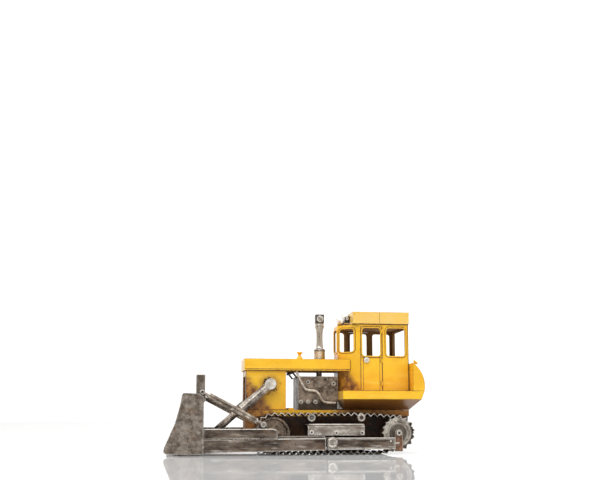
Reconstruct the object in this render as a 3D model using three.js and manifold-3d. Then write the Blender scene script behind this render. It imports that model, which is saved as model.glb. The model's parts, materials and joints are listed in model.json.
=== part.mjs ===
// Toy bulldozer, hand made from folded, welded and painted sheet steel.
//
// Millimetres, +Z up. The blade is at the -X end and the cab at the +X end. The left side is -Y.
// The origin is on the floor, under the middle of the toy. Every paired piece is drawn on the
// right side, where y is positive, and the left one is its mirror image.

import * as THREE from 'three';
import { ConvexGeometry } from 'three/addons/geometries/ConvexGeometry.js';
import { mergeVertices } from 'three/addons/utils/BufferGeometryUtils.js';
import Module from 'manifold-3d';

const wasm = await Module();
wasm.setup();

// ---------------------------------------------------------------- driving dimensions

const GAP = 0.3; // between pieces that touch
const SHEET = 2; // thickness of the folded sheet
const RUN_CLEARANCE = 0.4; // round a shaft in its bore
const ROUND = 28; // facets of a large round piece
const SMALL_ROUND = 12; // facets of a small one

const idler = { x: -36.2, z: 31.3, radius: 25.2, inside: 48, outside: 66, shaft: 3.5 };
const sprocket = { x: 153.2, z: 32.1, radius: 25.4, teeth: 18, toothDepth: 2.6, shaft: 3.5, drum: 21.5 };
const carrier = { front: 20.3, rear: 96.5, z: 55.2, radius: 5.7, shaft: 1.6 };
const belt = {
  inside: 42, outside: 74, waves: 54, amplitude: 2, thickness: 1.2, crest: 0.07, liftOff: 131,
};

const hull = { front: -74.9, rear: 180, halfWidth: 36, bottom: 12, top: 64.4 };
const deck = { front: -73.4, rear: 180.9, halfWidth: 40, railBottom: 57.2, top: 66.8 };
const radiator = { front: -75.9, rear: -13.4, halfWidth: 33, top: 127.7 };
const hood = { front: -78.5, rear: 88.7, halfWidth: 36, bottom: 128, top: 146 };
const engine = { front: 6.3, rear: 69, halfWidth: 27, top: 119.3 };
const cab = { front: 71.7, fold: 101.2, rear: 179.5, nose: 17, halfWidth: 49, bottom: 96, top: 201 };
const door = { front: 102.8, rear: 136.2, bottom: 96.6, top: 197, hingeOut: 1.3 };
const sill = { bottom: 151, front: 158.2, top: 194.5 };
const sideWindows = { front: [74.9, 93.2], rear: [143.8, 173.5] };
const WINDSHIELD_HALF_WIDTH = 13;
const REAR_WINDOW_HALF_WIDTH = 34;
const WINDOW_RADIUS = 4; // corners of every window
const roof = { front: 89.6, rear: 180, halfWidth: 52, top: 220 };
const lamp = { front: 78.3, y: 22, z: 212.3, radius: 7.2 };
const fender = {
  front: 69.6, rear: 197.5, bandRear: 192.7, footFront: 79, halfWidth: 72, bandBottom: 83, top: 95.7,
};
const tank = { x: 155.1, z: 103.8, radius: 43.2, front: 180, halfWidth: 72, capAngle: 48.5 };
const exhaust = { x: 45.2, collarRadius: 9.2, collarTop: 164.4, tubeTop: 206, top: 220.4, screwZ: 213 };

const blade = { bottom: 2.5, top: 91, rear: -141.1, inside: 89.5, outside: 92 };
const moldboard = { x: -236, z: 58, radius: 73.5, thickness: 2.5 };
const arm = {
  front: blade.rear + GAP, rear: 40, inside: 78, outside: 88, bottom: 3.9, top: 23.3, rise: 3.4,
};
const beam = { front: 43.9, rear: 146.2, inside: 80, outside: 86.5, bottom: 8, top: 25.4, border: 2.3 };
const pivot = { x: 50.1, z: 18.6, shaft: 3.9 };
const trunnion = { x: -38.9, z: 106.1, shaft: 4, eye: 8.2 };
const lift = { y: 44, barrelRadius: 7, rodRadius: 3.9, barrelLength: 57.7, length: 136 };
const liftAngle = THREE.MathUtils.degToRad(41.3); // below level, pointing forward at rest
const brace = { top: [-143.5, 92.3], bottom: [-53.4, 45.1], y: 83, radius: 4.9 };

// ---------------------------------------------------------------- finishes

const FINISHES = {
  yellowPaint: { color: 0xf6bb28, roughness: 0.42, metalness: 0 },
  darkSteel: { color: 0x4e453e, roughness: 0.45, metalness: 0.85 },
  bladeIron: { color: 0x6d645b, roughness: 0.55, metalness: 0.8 },
  brightSteel: { color: 0xb9b1a4, roughness: 0.3, metalness: 0.95 },
  rustyHull: { color: 0x59321f, roughness: 0.75, metalness: 0.2 },
  engineSteel: { color: 0x5a5048, roughness: 0.55, metalness: 0.7 },
  blackIron: { color: 0x26211e, roughness: 0.6, metalness: 0.6 },
};

// ---------------------------------------------------------------- solids

// The signed volume is negative where the faces of a closed mesh point inwards.
function signedVolume(positions, triangles) {
  const corners = [new THREE.Vector3(), new THREE.Vector3(), new THREE.Vector3()];
  let volume = 0;
  for (let start = 0; start < triangles.length; start += 3) {
    corners.forEach((corner, i) => corner.fromArray(positions, 3 * triangles[start + i]));
    volume += corners[0].dot(corners[1].cross(corners[2])) / 6;
  }
  return volume;
}

function withoutSlivers(triangles) {
  const kept = [];
  for (let start = 0; start < triangles.length; start += 3) {
    const [a, b, c] = triangles.slice(start, start + 3);
    if (a !== b && b !== c && c !== a) kept.push(a, b, c);
  }
  return kept;
}

function reversed(triangles) {
  const flipped = Uint32Array.from(triangles);
  for (let start = 0; start < flipped.length; start += 3) {
    [flipped[start + 1], flipped[start + 2]] = [flipped[start + 2], flipped[start + 1]];
  }
  return flipped;
}

function solid(geometry) {
  geometry.deleteAttribute('normal');
  geometry.deleteAttribute('uv');
  const welded = mergeVertices(geometry, 1e-4);
  const vertProperties = Float32Array.from(welded.attributes.position.array);
  let triVerts = Uint32Array.from(withoutSlivers(Array.from(welded.index.array)));
  if (signedVolume(vertProperties, triVerts) < 0) triVerts = reversed(triVerts);
  return new wasm.Manifold(new wasm.Mesh({ numProp: 3, vertProperties, triVerts }));
}

const join = (first, ...others) => others.reduce((whole, piece) => whole.add(piece), first);
const cut = (first, ...tools) => tools.reduce((whole, tool) => whole.subtract(tool), first);

function block(x0, x1, y0, y1, z0, z1) {
  const geometry = new THREE.BoxGeometry(x1 - x0, y1 - y0, z1 - z0);
  return solid(geometry.translate((x0 + x1) / 2, (y0 + y1) / 2, (z0 + z1) / 2));
}

// An outline of [u, v] or [u, v, corner radius] points.
function outline(points) {
  const shape = new THREE.Shape();
  points.forEach(([u, v, radius = 0], i) => {
    const corner = new THREE.Vector2(u, v);
    const before = new THREE.Vector2(...points[(i + points.length - 1) % points.length]);
    const after = new THREE.Vector2(...points[(i + 1) % points.length]);
    const arrive = corner.clone().add(before.sub(corner).setLength(radius));
    const leave = corner.clone().add(after.sub(corner).setLength(radius));
    if (i === 0) shape.moveTo(arrive.x, arrive.y);
    else shape.lineTo(arrive.x, arrive.y);
    if (radius > 0) shape.quadraticCurveTo(u, v, leave.x, leave.y);
  });
  return shape;
}

const extruded = (shape, depth, curveSegments) =>
  new THREE.ExtrudeGeometry(shape, { depth, bevelEnabled: false, curveSegments });

// A side view outline in x and z, drawn out from y0 to y1.
function sidePlate(shape, y0, y1, curveSegments = 5) {
  return solid(extruded(shape, y1 - y0, curveSegments).rotateX(Math.PI / 2).translate(0, y1, 0));
}

// A front view outline in y and z, drawn out from x0 to x1.
function crossPlate(shape, x0, x1, curveSegments = 5) {
  const geometry = extruded(shape, x1 - x0, curveSegments);
  const axes = [new THREE.Vector3(0, 1, 0), new THREE.Vector3(0, 0, 1), new THREE.Vector3(1, 0, 0)];
  return solid(geometry.applyMatrix4(new THREE.Matrix4().makeBasis(...axes)).translate(x0, 0, 0));
}

// A plan outline in x and y, drawn out from z0 to z1.
function planPlate(shape, z0, z1) {
  return solid(extruded(shape, z1 - z0, 5).translate(0, 0, z0));
}

function rod(from, to, radius, facets = SMALL_ROUND) {
  const start = new THREE.Vector3(...from);
  const direction = new THREE.Vector3(...to).sub(start);
  const length = direction.length();
  const geometry = new THREE.CylinderGeometry(radius, radius, length, facets);
  const up = new THREE.Vector3(0, 1, 0);
  const turn = new THREE.Quaternion().setFromUnitVectors(up, direction.normalize());
  geometry.translate(0, length / 2, 0).applyQuaternion(turn);
  return solid(geometry.translate(start.x, start.y, start.z));
}

// A shaft or disc whose axis is level, across the toy.
const crossRod = (x, z, y0, y1, radius, facets) => rod([x, y0, z], [x, y1, z], radius, facets);

// A turned piece from a profile of [radius, height] points, about the y axis.
const turned = (profile, facets = ROUND) =>
  new THREE.LatheGeometry(profile.map(([radius, height]) => new THREE.Vector2(radius, height)), facets);
const turnedUpright = (profile, facets) => solid(turned(profile, facets).rotateX(Math.PI / 2));
const turnedAcross = (profile, facets) => solid(turned(profile, facets));

const rectangle = (u0, u1, v0, v1, radius = 0) =>
  outline([[u0, v0, radius], [u1, v0, radius], [u1, v1, radius], [u0, v1, radius]]);

// A convex outline moved inwards by a distance, or outwards by a negative one. Points run anticlockwise.
function inset(points, distance) {
  const edges = points.map(([u, v], i) => {
    const [nextU, nextV] = points[(i + 1) % points.length];
    const along = new THREE.Vector2(nextU - u, nextV - v).normalize();
    return { u: u - along.y * distance, v: v + along.x * distance, along };
  });
  return edges.map((edge, i) => {
    const last = edges[(i + edges.length - 1) % edges.length];
    const reach = (edge.u - last.u) * edge.along.y - (edge.v - last.v) * edge.along.x;
    const step = reach / last.along.cross(edge.along);
    return [last.u + step * last.along.x, last.v + step * last.along.y];
  });
}

// ---------------------------------------------------------------- the scene graph

const bulldozer = new THREE.Group();

function addPart(name, piece, finish, place = [0, 0, 0], mirrored = false) {
  const { vertProperties, triVerts } = piece.getMesh();
  const positions = Float32Array.from(vertProperties);
  if (mirrored) {
    for (let i = 1; i < positions.length; i += 3) positions[i] *= -1;
  }
  const triangles = mirrored ? reversed(triVerts) : Uint32Array.from(triVerts);
  const geometry = new THREE.BufferGeometry();
  geometry.setAttribute('position', new THREE.BufferAttribute(positions, 3));
  geometry.setIndex(new THREE.BufferAttribute(triangles, 1));
  const mesh = new THREE.Mesh(geometry, new THREE.MeshStandardMaterial(finish));
  mesh.name = name;
  mesh.position.set(place[0], mirrored ? -place[1] : place[1], place[2]);
  bulldozer.add(mesh);
}

function addPair(name, piece, finish, place = [0, 0, 0]) {
  addPart(`${name}_right`, piece, finish, place);
  addPart(`${name}_left`, piece, finish, place, true);
}

// A hexagon nut standing on the plane y, with its thread hole.
function nut(x, z, y, radius = 3.4) {
  const hole = crossRod(x, z, y + 0.8, y + 3, radius * 0.45, SMALL_ROUND);
  return cut(crossRod(x, z, y - GAP, y + 2, radius, 6), hole);
}

// ---------------------------------------------------------------- chassis, deck and radiator

function addChassis() {
  const keelFront = hull.front + 15;
  const keelRear = hull.rear - 15;
  const side = [
    [hull.front, 28], [keelFront, hull.bottom], [keelRear, hull.bottom], [hull.rear, 30],
    [hull.rear, hull.top], [hull.front, hull.top],
  ];
  const openAtTop = ([x, z]) => [x, z > deck.railBottom ? z + 3 * SHEET : z];
  const inner = inset(side, SHEET).map(openAtTop);
  const inside = hull.halfWidth - SHEET;
  const hole = (x, z, shaft, facets) => crossRod(x, z, -60, 60, shaft + GAP, facets);
  const holes = [
    hole(idler.x, idler.z, idler.shaft),
    hole(sprocket.x, sprocket.z, sprocket.shaft),
    hole(carrier.front, carrier.z, carrier.shaft, 8),
    hole(carrier.rear, carrier.z, carrier.shaft, 8),
  ];
  const tub = cut(
    sidePlate(outline(side), -hull.halfWidth, hull.halfWidth),
    sidePlate(outline(inner), -inside, inside),
    ...holes,
  );
  addPart('chassis_hull', tub, FINISHES.rustyHull);

  const channelInside = deck.halfWidth - SHEET;
  const channel = cut(
    block(deck.front, deck.rear, -deck.halfWidth, deck.halfWidth, deck.railBottom, deck.top),
    block(deck.front - 1, deck.rear + 1, -channelInside, channelInside, 50, deck.top - SHEET),
  );
  const pads = [-28, 28].map((y) => block(-9.4, -0.8, y - 6, y + 6, deck.top - 1, 70));
  addPart('deck_plate', join(channel, ...pads), FINISHES.yellowPaint);
}

function addRadiator() {
  const { front, rear, halfWidth, top } = radiator;
  const bottom = deck.top + GAP;
  const mouth = { halfWidth: 25, bottom: 75, top: 119 };
  const housing = cut(
    block(front, rear, -halfWidth, halfWidth, bottom, top),
    block(front + SHEET, rear + 1, SHEET - halfWidth, halfWidth - SHEET, bottom - 1, top - SHEET),
    crossPlate(rectangle(-mouth.halfWidth, mouth.halfWidth, mouth.bottom, mouth.top, 4),
      front - 1, front + SHEET + 1),
    crossRod(trunnion.x, trunnion.z, -40, 40, trunnion.shaft + GAP),
  );
  addPart('radiator_housing', housing, FINISHES.yellowPaint);

  const barPitch = 6;
  const slots = [-4, -3, -2, -1, 0, 1, 2, 3].map((i) =>
    block(front, front + 6, barPitch * i + 1, barPitch * (i + 1) - 1, mouth.bottom + 2, mouth.top - 2));
  const edge = mouth.halfWidth + 3;
  const screen = block(front + SHEET + GAP, front + 4, -edge, edge, mouth.bottom - 3, mouth.top + 3);
  const grille = cut(screen, ...slots);
  addPart('radiator_grille', grille, FINISHES.blackIron);

  const shaft = crossRod(trunnion.x, trunnion.z, -46, 46, trunnion.shaft);
  addPart('trunnion_shaft', shaft, FINISHES.darkSteel);
}

// ---------------------------------------------------------------- hood, stack and filler

const cabOutline = [
  [cab.front, -cab.nose], [cab.fold, -cab.halfWidth], [cab.rear, -cab.halfWidth],
  [cab.rear, cab.halfWidth], [cab.fold, cab.halfWidth], [cab.front, cab.nose],
];

function addHood() {
  const { front, rear, halfWidth, bottom, top } = hood;
  const lip = 1.2;
  const folded = join(
    block(front, rear, -halfWidth, halfWidth, bottom, top),
    block(front, rear, -halfWidth - lip, halfWidth + lip, bottom, bottom + 1.5),
  );
  const lid = cut(
    folded,
    block(front + SHEET, rear + 1, SHEET - halfWidth, halfWidth - SHEET, bottom - 1, top - SHEET),
    planPlate(outline(inset(cabOutline, -GAP)), bottom - 2, top + 2),
  );
  addPart('hood_lid', lid, FINISHES.yellowPaint);

  const spool = [[0, 0], [5.1, 0], [5.1, 2], [1.8, 4], [1.5, 9], [4.8, 11.5], [4.8, 13.4], [0, 13.4]];
  addPart('filler_cap', turnedUpright(spool, 16), FINISHES.yellowPaint, [12.7, 0, top + GAP]);
}

function addExhaust() {
  const { x, collarRadius, collarTop, tubeTop, top, screwZ } = exhaust;
  const base = hood.top + GAP;
  const collar = [
    [0, 0], [collarRadius, 0], [collarRadius, 15.6], [collarRadius - 1.2, collarTop - base],
    [0, collarTop - base],
  ];
  addPart('exhaust_collar', turnedUpright(collar), FINISHES.brightSteel, [x, 0, base]);

  const length = tubeTop - collarTop - GAP;
  const tube = [[0, 0], [5.9, 0], [5.1, 12], [5.3, 26], [7.35, length - 7], [7.35, length], [0, length]];
  addPart('exhaust_tube', turnedUpright(tube, 20), FINISHES.brightSteel, [x, 0, collarTop + GAP]);

  const halfLength = 6.8;
  const halfDepth = 5.8;
  const mouth = rod([x, 0, top - 3], [x, 0, top + 1], 4.2);
  const box = block(x - halfLength, x + halfLength, -halfDepth, halfDepth, tubeTop + GAP, top);
  addPart('exhaust_head', cut(box, mouth), FINISHES.brightSteel);

  const screwFace = halfDepth + 2.2;
  const screwHead = crossRod(x, screwZ, -screwFace, -halfDepth - GAP, 5.4, 20);
  const slot = block(x - 6, x + 6, -screwFace - 1, 1 - screwFace, screwZ - 0.7, screwZ + 0.7);
  addPart('exhaust_screw', cut(screwHead, slot), FINISHES.brightSteel);
}

// ---------------------------------------------------------------- engine

function addEngine() {
  const { front, rear, halfWidth, top } = engine;
  const bottom = deck.top + GAP;
  const box = cut(
    block(front, rear, -halfWidth, halfWidth, bottom, top),
    block(front + SHEET, rear - SHEET, SHEET - halfWidth, halfWidth - SHEET, bottom - 1, top - SHEET),
  );
  const stackX = exhaust.x - 1;
  const stack = rod([stackX, 0, top - 1], [stackX, 0, hood.top - SHEET - GAP], 4.6);
  addPart('engine_block', join(box, stack), FINISHES.engineSteel);

  const face = halfWidth + 2.8;
  const plate = block(front, rear, halfWidth + GAP, face, bottom + 1, top - 0.3);
  const nuts = [[21.7, 110.1], [62.4, 107.9]].map(([x, z]) => nut(x, z, face));
  const boltRow = 79.4;
  const bolts = [10.6, 22.1, 33.6].map((x) => crossRod(x, boltRow, face - GAP, face + 1.4, 2.2));
  addPair('engine_plate', join(plate, ...nuts, ...bolts), FINISHES.engineSteel);

  const stayReach = 27.5;
  const bar = block(-5, -2.6, -stayReach, stayReach, hood.bottom - 5, hood.bottom - 1);
  const lean = outline([[-5, hood.bottom - 1], [-2, hood.bottom - 1], [front - GAP, 117.4], [3.4, 116.4]]);
  const legs = [-stayReach, stayReach - 3].map((y) => sidePlate(lean, y, y + 3));
  addPart('hood_stay', join(bar, ...legs), FINISHES.blackIron);

  const route = [
    [3, -33.5, 126.3], [11.7, -33.5, 107.6], [17.3, -33.5, 98.6], [25, -33.5, 97], [33.5, -33.5, 96],
    [39.5, -33.5, 89.5], [44.3, -33.5, 81], [52, -33.5, 78], [66, -31.8, 77.4],
  ].map((point) => new THREE.Vector3(...point));
  const circle = new THREE.Shape().absarc(0, 0, 1.9, 0, 2 * Math.PI);
  const path = new THREE.CatmullRomCurve3(route);
  const pipe = new THREE.ExtrudeGeometry(circle, { steps: 20, curveSegments: 4, extrudePath: path });
  addPart('oil_pipe', solid(pipe), FINISHES.brightSteel);
}

// ---------------------------------------------------------------- cab, doors and roof

const sideCut = (x0, x1, z0, z1, radius) => sidePlate(rectangle(x0, x1, z0, z1, radius), -60, 60);
const endCut = (halfWidth, z0, x) =>
  crossPlate(rectangle(-halfWidth, halfWidth, z0, sill.top, WINDOW_RADIUS), x - SHEET - 1, x + SHEET + 1);

function addCab() {
  const { bottom, top, rear, front } = cab;
  const walls = cut(
    planPlate(outline(cabOutline), bottom, top),
    planPlate(outline(inset(cabOutline, SHEET)), bottom - 1, top - SHEET),
    sideCut(...sideWindows.front, sill.front, sill.top, WINDOW_RADIUS),
    sideCut(...sideWindows.rear, sill.bottom, sill.top, WINDOW_RADIUS),
    sideCut(door.front - GAP, door.rear + GAP, bottom - 1, door.top + 0.4, 0),
    endCut(WINDSHIELD_HALF_WIDTH, sill.front, front),
    endCut(REAR_WINDOW_HALF_WIDTH, sill.bottom, rear),
  );
  addPart('cab_shell', walls, FINISHES.yellowPaint);

  const lid = cut(
    block(roof.front, roof.rear, -roof.halfWidth, roof.halfWidth, top + GAP, roof.top),
    block(roof.front + SHEET, roof.rear - SHEET, SHEET - roof.halfWidth, roof.halfWidth - SHEET,
      top - 1, roof.top - SHEET),
  );
  addPart('cab_roof', lid, FINISHES.yellowPaint);

  const lampRear = roof.front - GAP;
  const bracket = block(lamp.front + 2, lampRear, lamp.y - 3, lamp.y + 3, top + GAP, lamp.z);
  const drum = rod([lamp.front, lamp.y, lamp.z], [lampRear, lamp.y, lamp.z], lamp.radius, 24);
  addPair('headlamp', join(drum, bracket), FINISHES.brightSteel);
}

// The door swings on a pin just outside its rear edge.
function addDoors() {
  const face = cab.halfWidth;
  const pinY = face + door.hingeOut;
  const pinX = door.rear + 0.2;
  const leaf = cut(
    block(door.front, door.rear, face - SHEET, face, door.bottom, door.top),
    sideCut(door.front + 2.4, door.rear - 2.4, sill.bottom, sill.top, WINDOW_RADIUS),
  );
  const knuckles = [104, 140, 186].flatMap((z) => [
    rod([pinX, pinY, z], [pinX, pinY, z + 7], 1.1, 12),
    block(door.rear - 2, pinX, face - 0.5, pinY, z, z + 7),
  ]);
  addPair('door', join(leaf, ...knuckles), FINISHES.yellowPaint);

  const knob = [[0, 0], [2, 0], [2, 1], [4.4, 1.4], [4.4, 2.6], [3, 3.6], [0, 3.8]];
  addPair('door_knob', turnedAcross(knob, 16), FINISHES.brightSteel, [111.3, face + GAP, 144.2]);
}

// ---------------------------------------------------------------- fender body and fuel tank

function addFender() {
  const corners = (x0, x1, halfWidth, z) =>
    [x0, x1].flatMap((x) => [-halfWidth, halfWidth].map((y) => new THREE.Vector3(x, y, z)));
  const outside = [
    ...corners(fender.front, fender.rear, fender.halfWidth, fender.top),
    ...corners(fender.front, fender.bandRear, fender.halfWidth, fender.bandBottom),
    ...corners(fender.footFront, deck.rear, deck.halfWidth, deck.top + GAP),
  ];
  const within = [
    ...corners(fender.front + SHEET, fender.bandRear - 0.7, fender.halfWidth - SHEET, fender.top - SHEET),
    ...corners(fender.front + SHEET, fender.bandRear - 2.7, fender.halfWidth - SHEET,
      fender.bandBottom + 0.6),
    ...corners(fender.footFront + 3, deck.rear - 2.9, deck.halfWidth - 3, deck.top - 1),
  ];
  const pan = cut(solid(new ConvexGeometry(outside)), solid(new ConvexGeometry(within)));
  addPart('fender_body', pan, FINISHES.yellowPaint);

  const bottom = fender.top + GAP;
  const drum = (radius, front, floor) => {
    const shape = new THREE.Shape();
    const startAngle = Math.asin((floor - tank.z) / radius);
    shape.moveTo(front, floor);
    shape.lineTo(tank.x + radius * Math.cos(startAngle), floor);
    shape.absarc(tank.x, tank.z, radius, startAngle, Math.acos((front - tank.x) / radius), false);
    return shape;
  };
  const inside = tank.halfWidth - SHEET;
  const shell = cut(
    sidePlate(drum(tank.radius, tank.front, bottom), -tank.halfWidth, tank.halfWidth, 14),
    sidePlate(drum(tank.radius - SHEET, tank.front + SHEET, bottom + SHEET), -inside, inside, 14),
    block(tank.front - 1, tank.front + 3, -40, 40, tank.z, tank.z + 26), // faces the cab, out of sight
  );
  addPart('fuel_tank', shell, FINISHES.yellowPaint);

  const lean = THREE.MathUtils.degToRad(tank.capAngle);
  const foot = tank.radius + GAP + 0.2;
  const profile = [[0, 0], [2.2, 0], [1.8, 3.6], [4.3, 5.2], [4, 6.8], [0, 7.4]];
  const cap = solid(turned(profile, 20).rotateX(Math.PI / 2).rotateY(Math.PI / 2 - lean));
  const place = [tank.x + foot * Math.cos(lean), -58, tank.z + foot * Math.sin(lean)];
  addPart('tank_cap', cap, FINISHES.yellowPaint, place);
}

// ---------------------------------------------------------------- tracks

// The belt's centre line runs round the sprocket, forward over the carrier shafts, round the idler,
// back along the floor, and up to the sprocket from where it lifts off.
function beltCentreLine() {
  const height = belt.amplitude + belt.thickness / 2;
  const runTop = carrier.z + carrier.shaft + 0.7 + height;
  const line = new THREE.Path();
  const rearRadius = sprocket.drum + GAP + height;
  line.absarc(sprocket.x, sprocket.z, rearRadius, -0.54 * Math.PI, Math.PI / 2, false);
  line.lineTo(carrier.rear, runTop);
  line.lineTo(carrier.front, runTop);
  line.absarc(idler.x, idler.z, idler.z - height, 0.523 * Math.PI, 1.5 * Math.PI, false);
  line.lineTo(belt.liftOff, height);
  line.closePath();
  return line;
}

// One face of the corrugated strip: each wave has a sharp inner fold and a flat outer crest.
function wavyLoop(line, offset) {
  const points = [];
  for (let wave = 0; wave < belt.waves; wave++) {
    for (const [phase, height] of [[0, -1], [0.5 - belt.crest, 1], [0.5 + belt.crest, 1]]) {
      const at = (wave + phase) / belt.waves;
      const out = belt.amplitude * height + offset;
      const tangent = line.getTangent(at);
      points.push(line.getPoint(at).add(new THREE.Vector2(tangent.y * out, -tangent.x * out)));
    }
  }
  return points;
}

function addBelts() {
  const line = beltCentreLine();
  const strip = new THREE.Shape(wavyLoop(line, belt.thickness / 2));
  strip.holes.push(new THREE.Path(wavyLoop(line, -belt.thickness / 2)));
  addPair('track_belt', sidePlate(strip, belt.inside, belt.outside), FINISHES.brightSteel);
}

function addWheels() {
  const width = idler.outside - idler.inside;
  const bore = idler.shaft + RUN_CLEARANCE;
  const rim = idler.radius;
  const wheel = [
    [bore, 0], [rim, 0], [rim, width], [rim - 3.5, width], [rim - 4.5, width - 5],
    [8, width - 5], [8, width], [bore, width], [bore, 0],
  ];
  addPair('idler', turnedAcross(wheel), FINISHES.darkSteel, [idler.x, idler.inside, idler.z]);

  const toothed = new THREE.Shape();
  const stepsPerTooth = 4;
  const steps = stepsPerTooth * sprocket.teeth;
  for (let i = 0; i < steps; i++) {
    const angle = (2 * Math.PI * i) / steps;
    const valley = Math.sin((Math.PI * (i % stepsPerTooth)) / stepsPerTooth);
    const radius = sprocket.radius - sprocket.toothDepth * valley;
    const point = [radius * Math.cos(angle), radius * Math.sin(angle)];
    if (i === 0) toothed.moveTo(...point);
    else toothed.lineTo(...point);
  }
  const ring = sidePlate(toothed, belt.outside + GAP, belt.outside + 3);
  const drum = crossRod(0, 0, 48, belt.outside + 1, sprocket.drum, 20);
  const hub = crossRod(0, 0, 60, belt.outside + 4, 13, 20);
  const gear = cut(join(ring, drum, hub), crossRod(0, 0, 40, 80, sprocket.shaft + RUN_CLEARANCE));
  addPair('sprocket', gear, FINISHES.brightSteel, [sprocket.x, 0, sprocket.z]);

  const roller = join(
    crossRod(0, 0, 33, 74.8, carrier.shaft, 8),
    crossRod(0, 0, belt.outside + 0.6, 77.2, carrier.radius, 16),
  );
  addPair('carrier_roller_front', roller, FINISHES.darkSteel, [carrier.front, 0, carrier.z]);
  addPair('carrier_roller_rear', roller, FINISHES.darkSteel, [carrier.rear, 0, carrier.z]);

  const idlerAxle = crossRod(idler.x, idler.z, -70, 70, idler.shaft);
  addPart('idler_axle', idlerAxle, FINISHES.darkSteel);
  const heads = [-83.4, 81].map((y) => crossRod(sprocket.x, sprocket.z, y, y + 2.4, 4.2, 6));
  const sprocketAxle = join(crossRod(sprocket.x, sprocket.z, -82, 82, sprocket.shaft), ...heads);
  addPart('sprocket_axle', sprocketAxle, FINISHES.brightSteel);
}

function addTrackFrames() {
  const shelfTop = 45.6;
  const outside = 75;
  const skirtBottom = 28.6;
  const folded = outline([
    [hull.halfWidth + GAP, shelfTop], [hull.halfWidth + GAP, shelfTop - SHEET],
    [outside - SHEET, shelfTop - SHEET, 5], [outside - SHEET, skirtBottom], [outside, skirtBottom],
    [outside, shelfTop, 7],
  ]);
  const nuts = [[20.3, 33.2], [58, 32.1], [97.6, 32.1]].map(([x, z]) => nut(x, z, outside));
  addPair('roller_guard', join(crossPlate(folded, 14.9, 101.5), ...nuts), FINISHES.darkSteel);

  const strap = { inside: 78.5, outside: 80.6, halfWidth: 6, bottom: 4.6 };
  const side = cut(
    join(
      block(beam.front, beam.rear, beam.inside, beam.outside, beam.bottom, beam.top),
      block(70, 90, hull.halfWidth + GAP, 81, 10, 22),
      block(beam.rear - 1, sprocket.x, 79, 82, 15.5, 18.5),
      block(sprocket.x - strap.halfWidth, sprocket.x + strap.halfWidth, strap.inside, strap.outside,
        strap.bottom, sprocket.z),
      crossRod(sprocket.x, sprocket.z, strap.inside, strap.outside, strap.halfWidth, 20),
    ),
    block(beam.front + beam.border, beam.rear - beam.border, beam.outside - 1, beam.outside + 1,
      beam.bottom + beam.border, beam.top - beam.border),
    crossRod(pivot.x, pivot.z, 79, 88, pivot.shaft + GAP),
    crossRod(sprocket.x, sprocket.z, 77, 82, sprocket.shaft + GAP),
  );
  addPair('track_beam', side, FINISHES.darkSteel);

  const dome = [[0, 0], [pivot.shaft, 0], [pivot.shaft, 10], [8, 10], [7.6, 12], [4, 13.4], [0, 13]];
  addPair('pivot_boss', turnedAcross(dome, 20), FINISHES.brightSteel, [pivot.x, 76.8, pivot.z]);
}

// ---------------------------------------------------------------- blade and push arms

function moldboardArc(inner, outer, startAngle, endAngle) {
  const shape = new THREE.Shape();
  shape.absarc(moldboard.x, moldboard.z, outer, startAngle, endAngle, false);
  shape.absarc(moldboard.x, moldboard.z, inner, endAngle, startAngle, true);
  return shape;
}

// Where the rod's end pin sits at rest.
const rodEnd = {
  x: trunnion.x - lift.length * Math.cos(liftAngle),
  z: trunnion.z - lift.length * Math.sin(liftAngle),
};

function addBlade() {
  const { radius, thickness, x, z } = moldboard;
  const halfWidth = blade.inside - GAP;
  const lowest = Math.asin((blade.bottom + 1.5 - z) / radius);
  const highest = Math.asin((blade.top - 1 - z) / radius);
  const curved = moldboardArc(radius, radius + thickness, lowest, highest);
  const shelf = block(x + radius * Math.cos(highest) + 1, blade.rear - 2.8, -76, 76, 87.5, 90);
  const root = x + radius * Math.cos(Math.asin((rodEnd.z - z) / radius)) + 1;
  const ear = outline([
    [root - 3.2, rodEnd.z - 6], [rodEnd.x + 4, rodEnd.z - 6, 3], [rodEnd.x + 5, rodEnd.z + 5, 3],
    [root + 7.2, rodEnd.z + 14],
  ]);
  const clevises = [-lift.y, lift.y].flatMap((y) => [
    sidePlate(ear, y - 6.5, y - 4.5),
    sidePlate(ear, y + 4.5, y + 6.5),
    crossRod(rodEnd.x, rodEnd.z, y - 6, y + 6, 1.8, 12),
  ]);
  const board = join(sidePlate(curved, -halfWidth, halfWidth, 9), shelf, ...clevises);
  addPart('moldboard', board, FINISHES.bladeIron);

  const edge = moldboardArc(radius - GAP - 2.4, radius - GAP, lowest - 0.012, lowest + 0.19);
  addPart('cutting_edge', sidePlate(edge, -halfWidth, halfWidth, 4), FINISHES.darkSteel);

  const profile = outline([
    [-172.2, blade.top, 4], [-147.7, 90, 3], [blade.rear, 85, 2], [blade.rear, blade.bottom],
    [-201, blade.bottom, 11], [-188.3, 32.7], [-182.5, 45.9],
    [-178.2, 61.9], [-175.3, 73.6],
  ]);
  const [pinX, pinZ] = brace.top;
  const lug = join(
    crossRod(pinX, pinZ, 78, 80.2, 4.6, 20),
    block(blade.rear - 2.5, blade.rear + 2, 78, 80.2, 78, pinZ),
  );
  const endPlate = join(
    sidePlate(profile, blade.inside, blade.outside),
    block(blade.rear - 2.5, blade.rear, 77, blade.inside + 1, blade.bottom, 84),
    lug,
  );
  addPair('blade_end_plate', endPlate, FINISHES.bladeIron);

  const guard = cut(
    block(-151.5, -138.1, -30, 30, 90 + GAP, 120.8),
    block(-149.5, -130, -28, 28, 89, 122),
  );
  addPart('spill_guard', guard, FINISHES.bladeIron);
}

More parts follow.
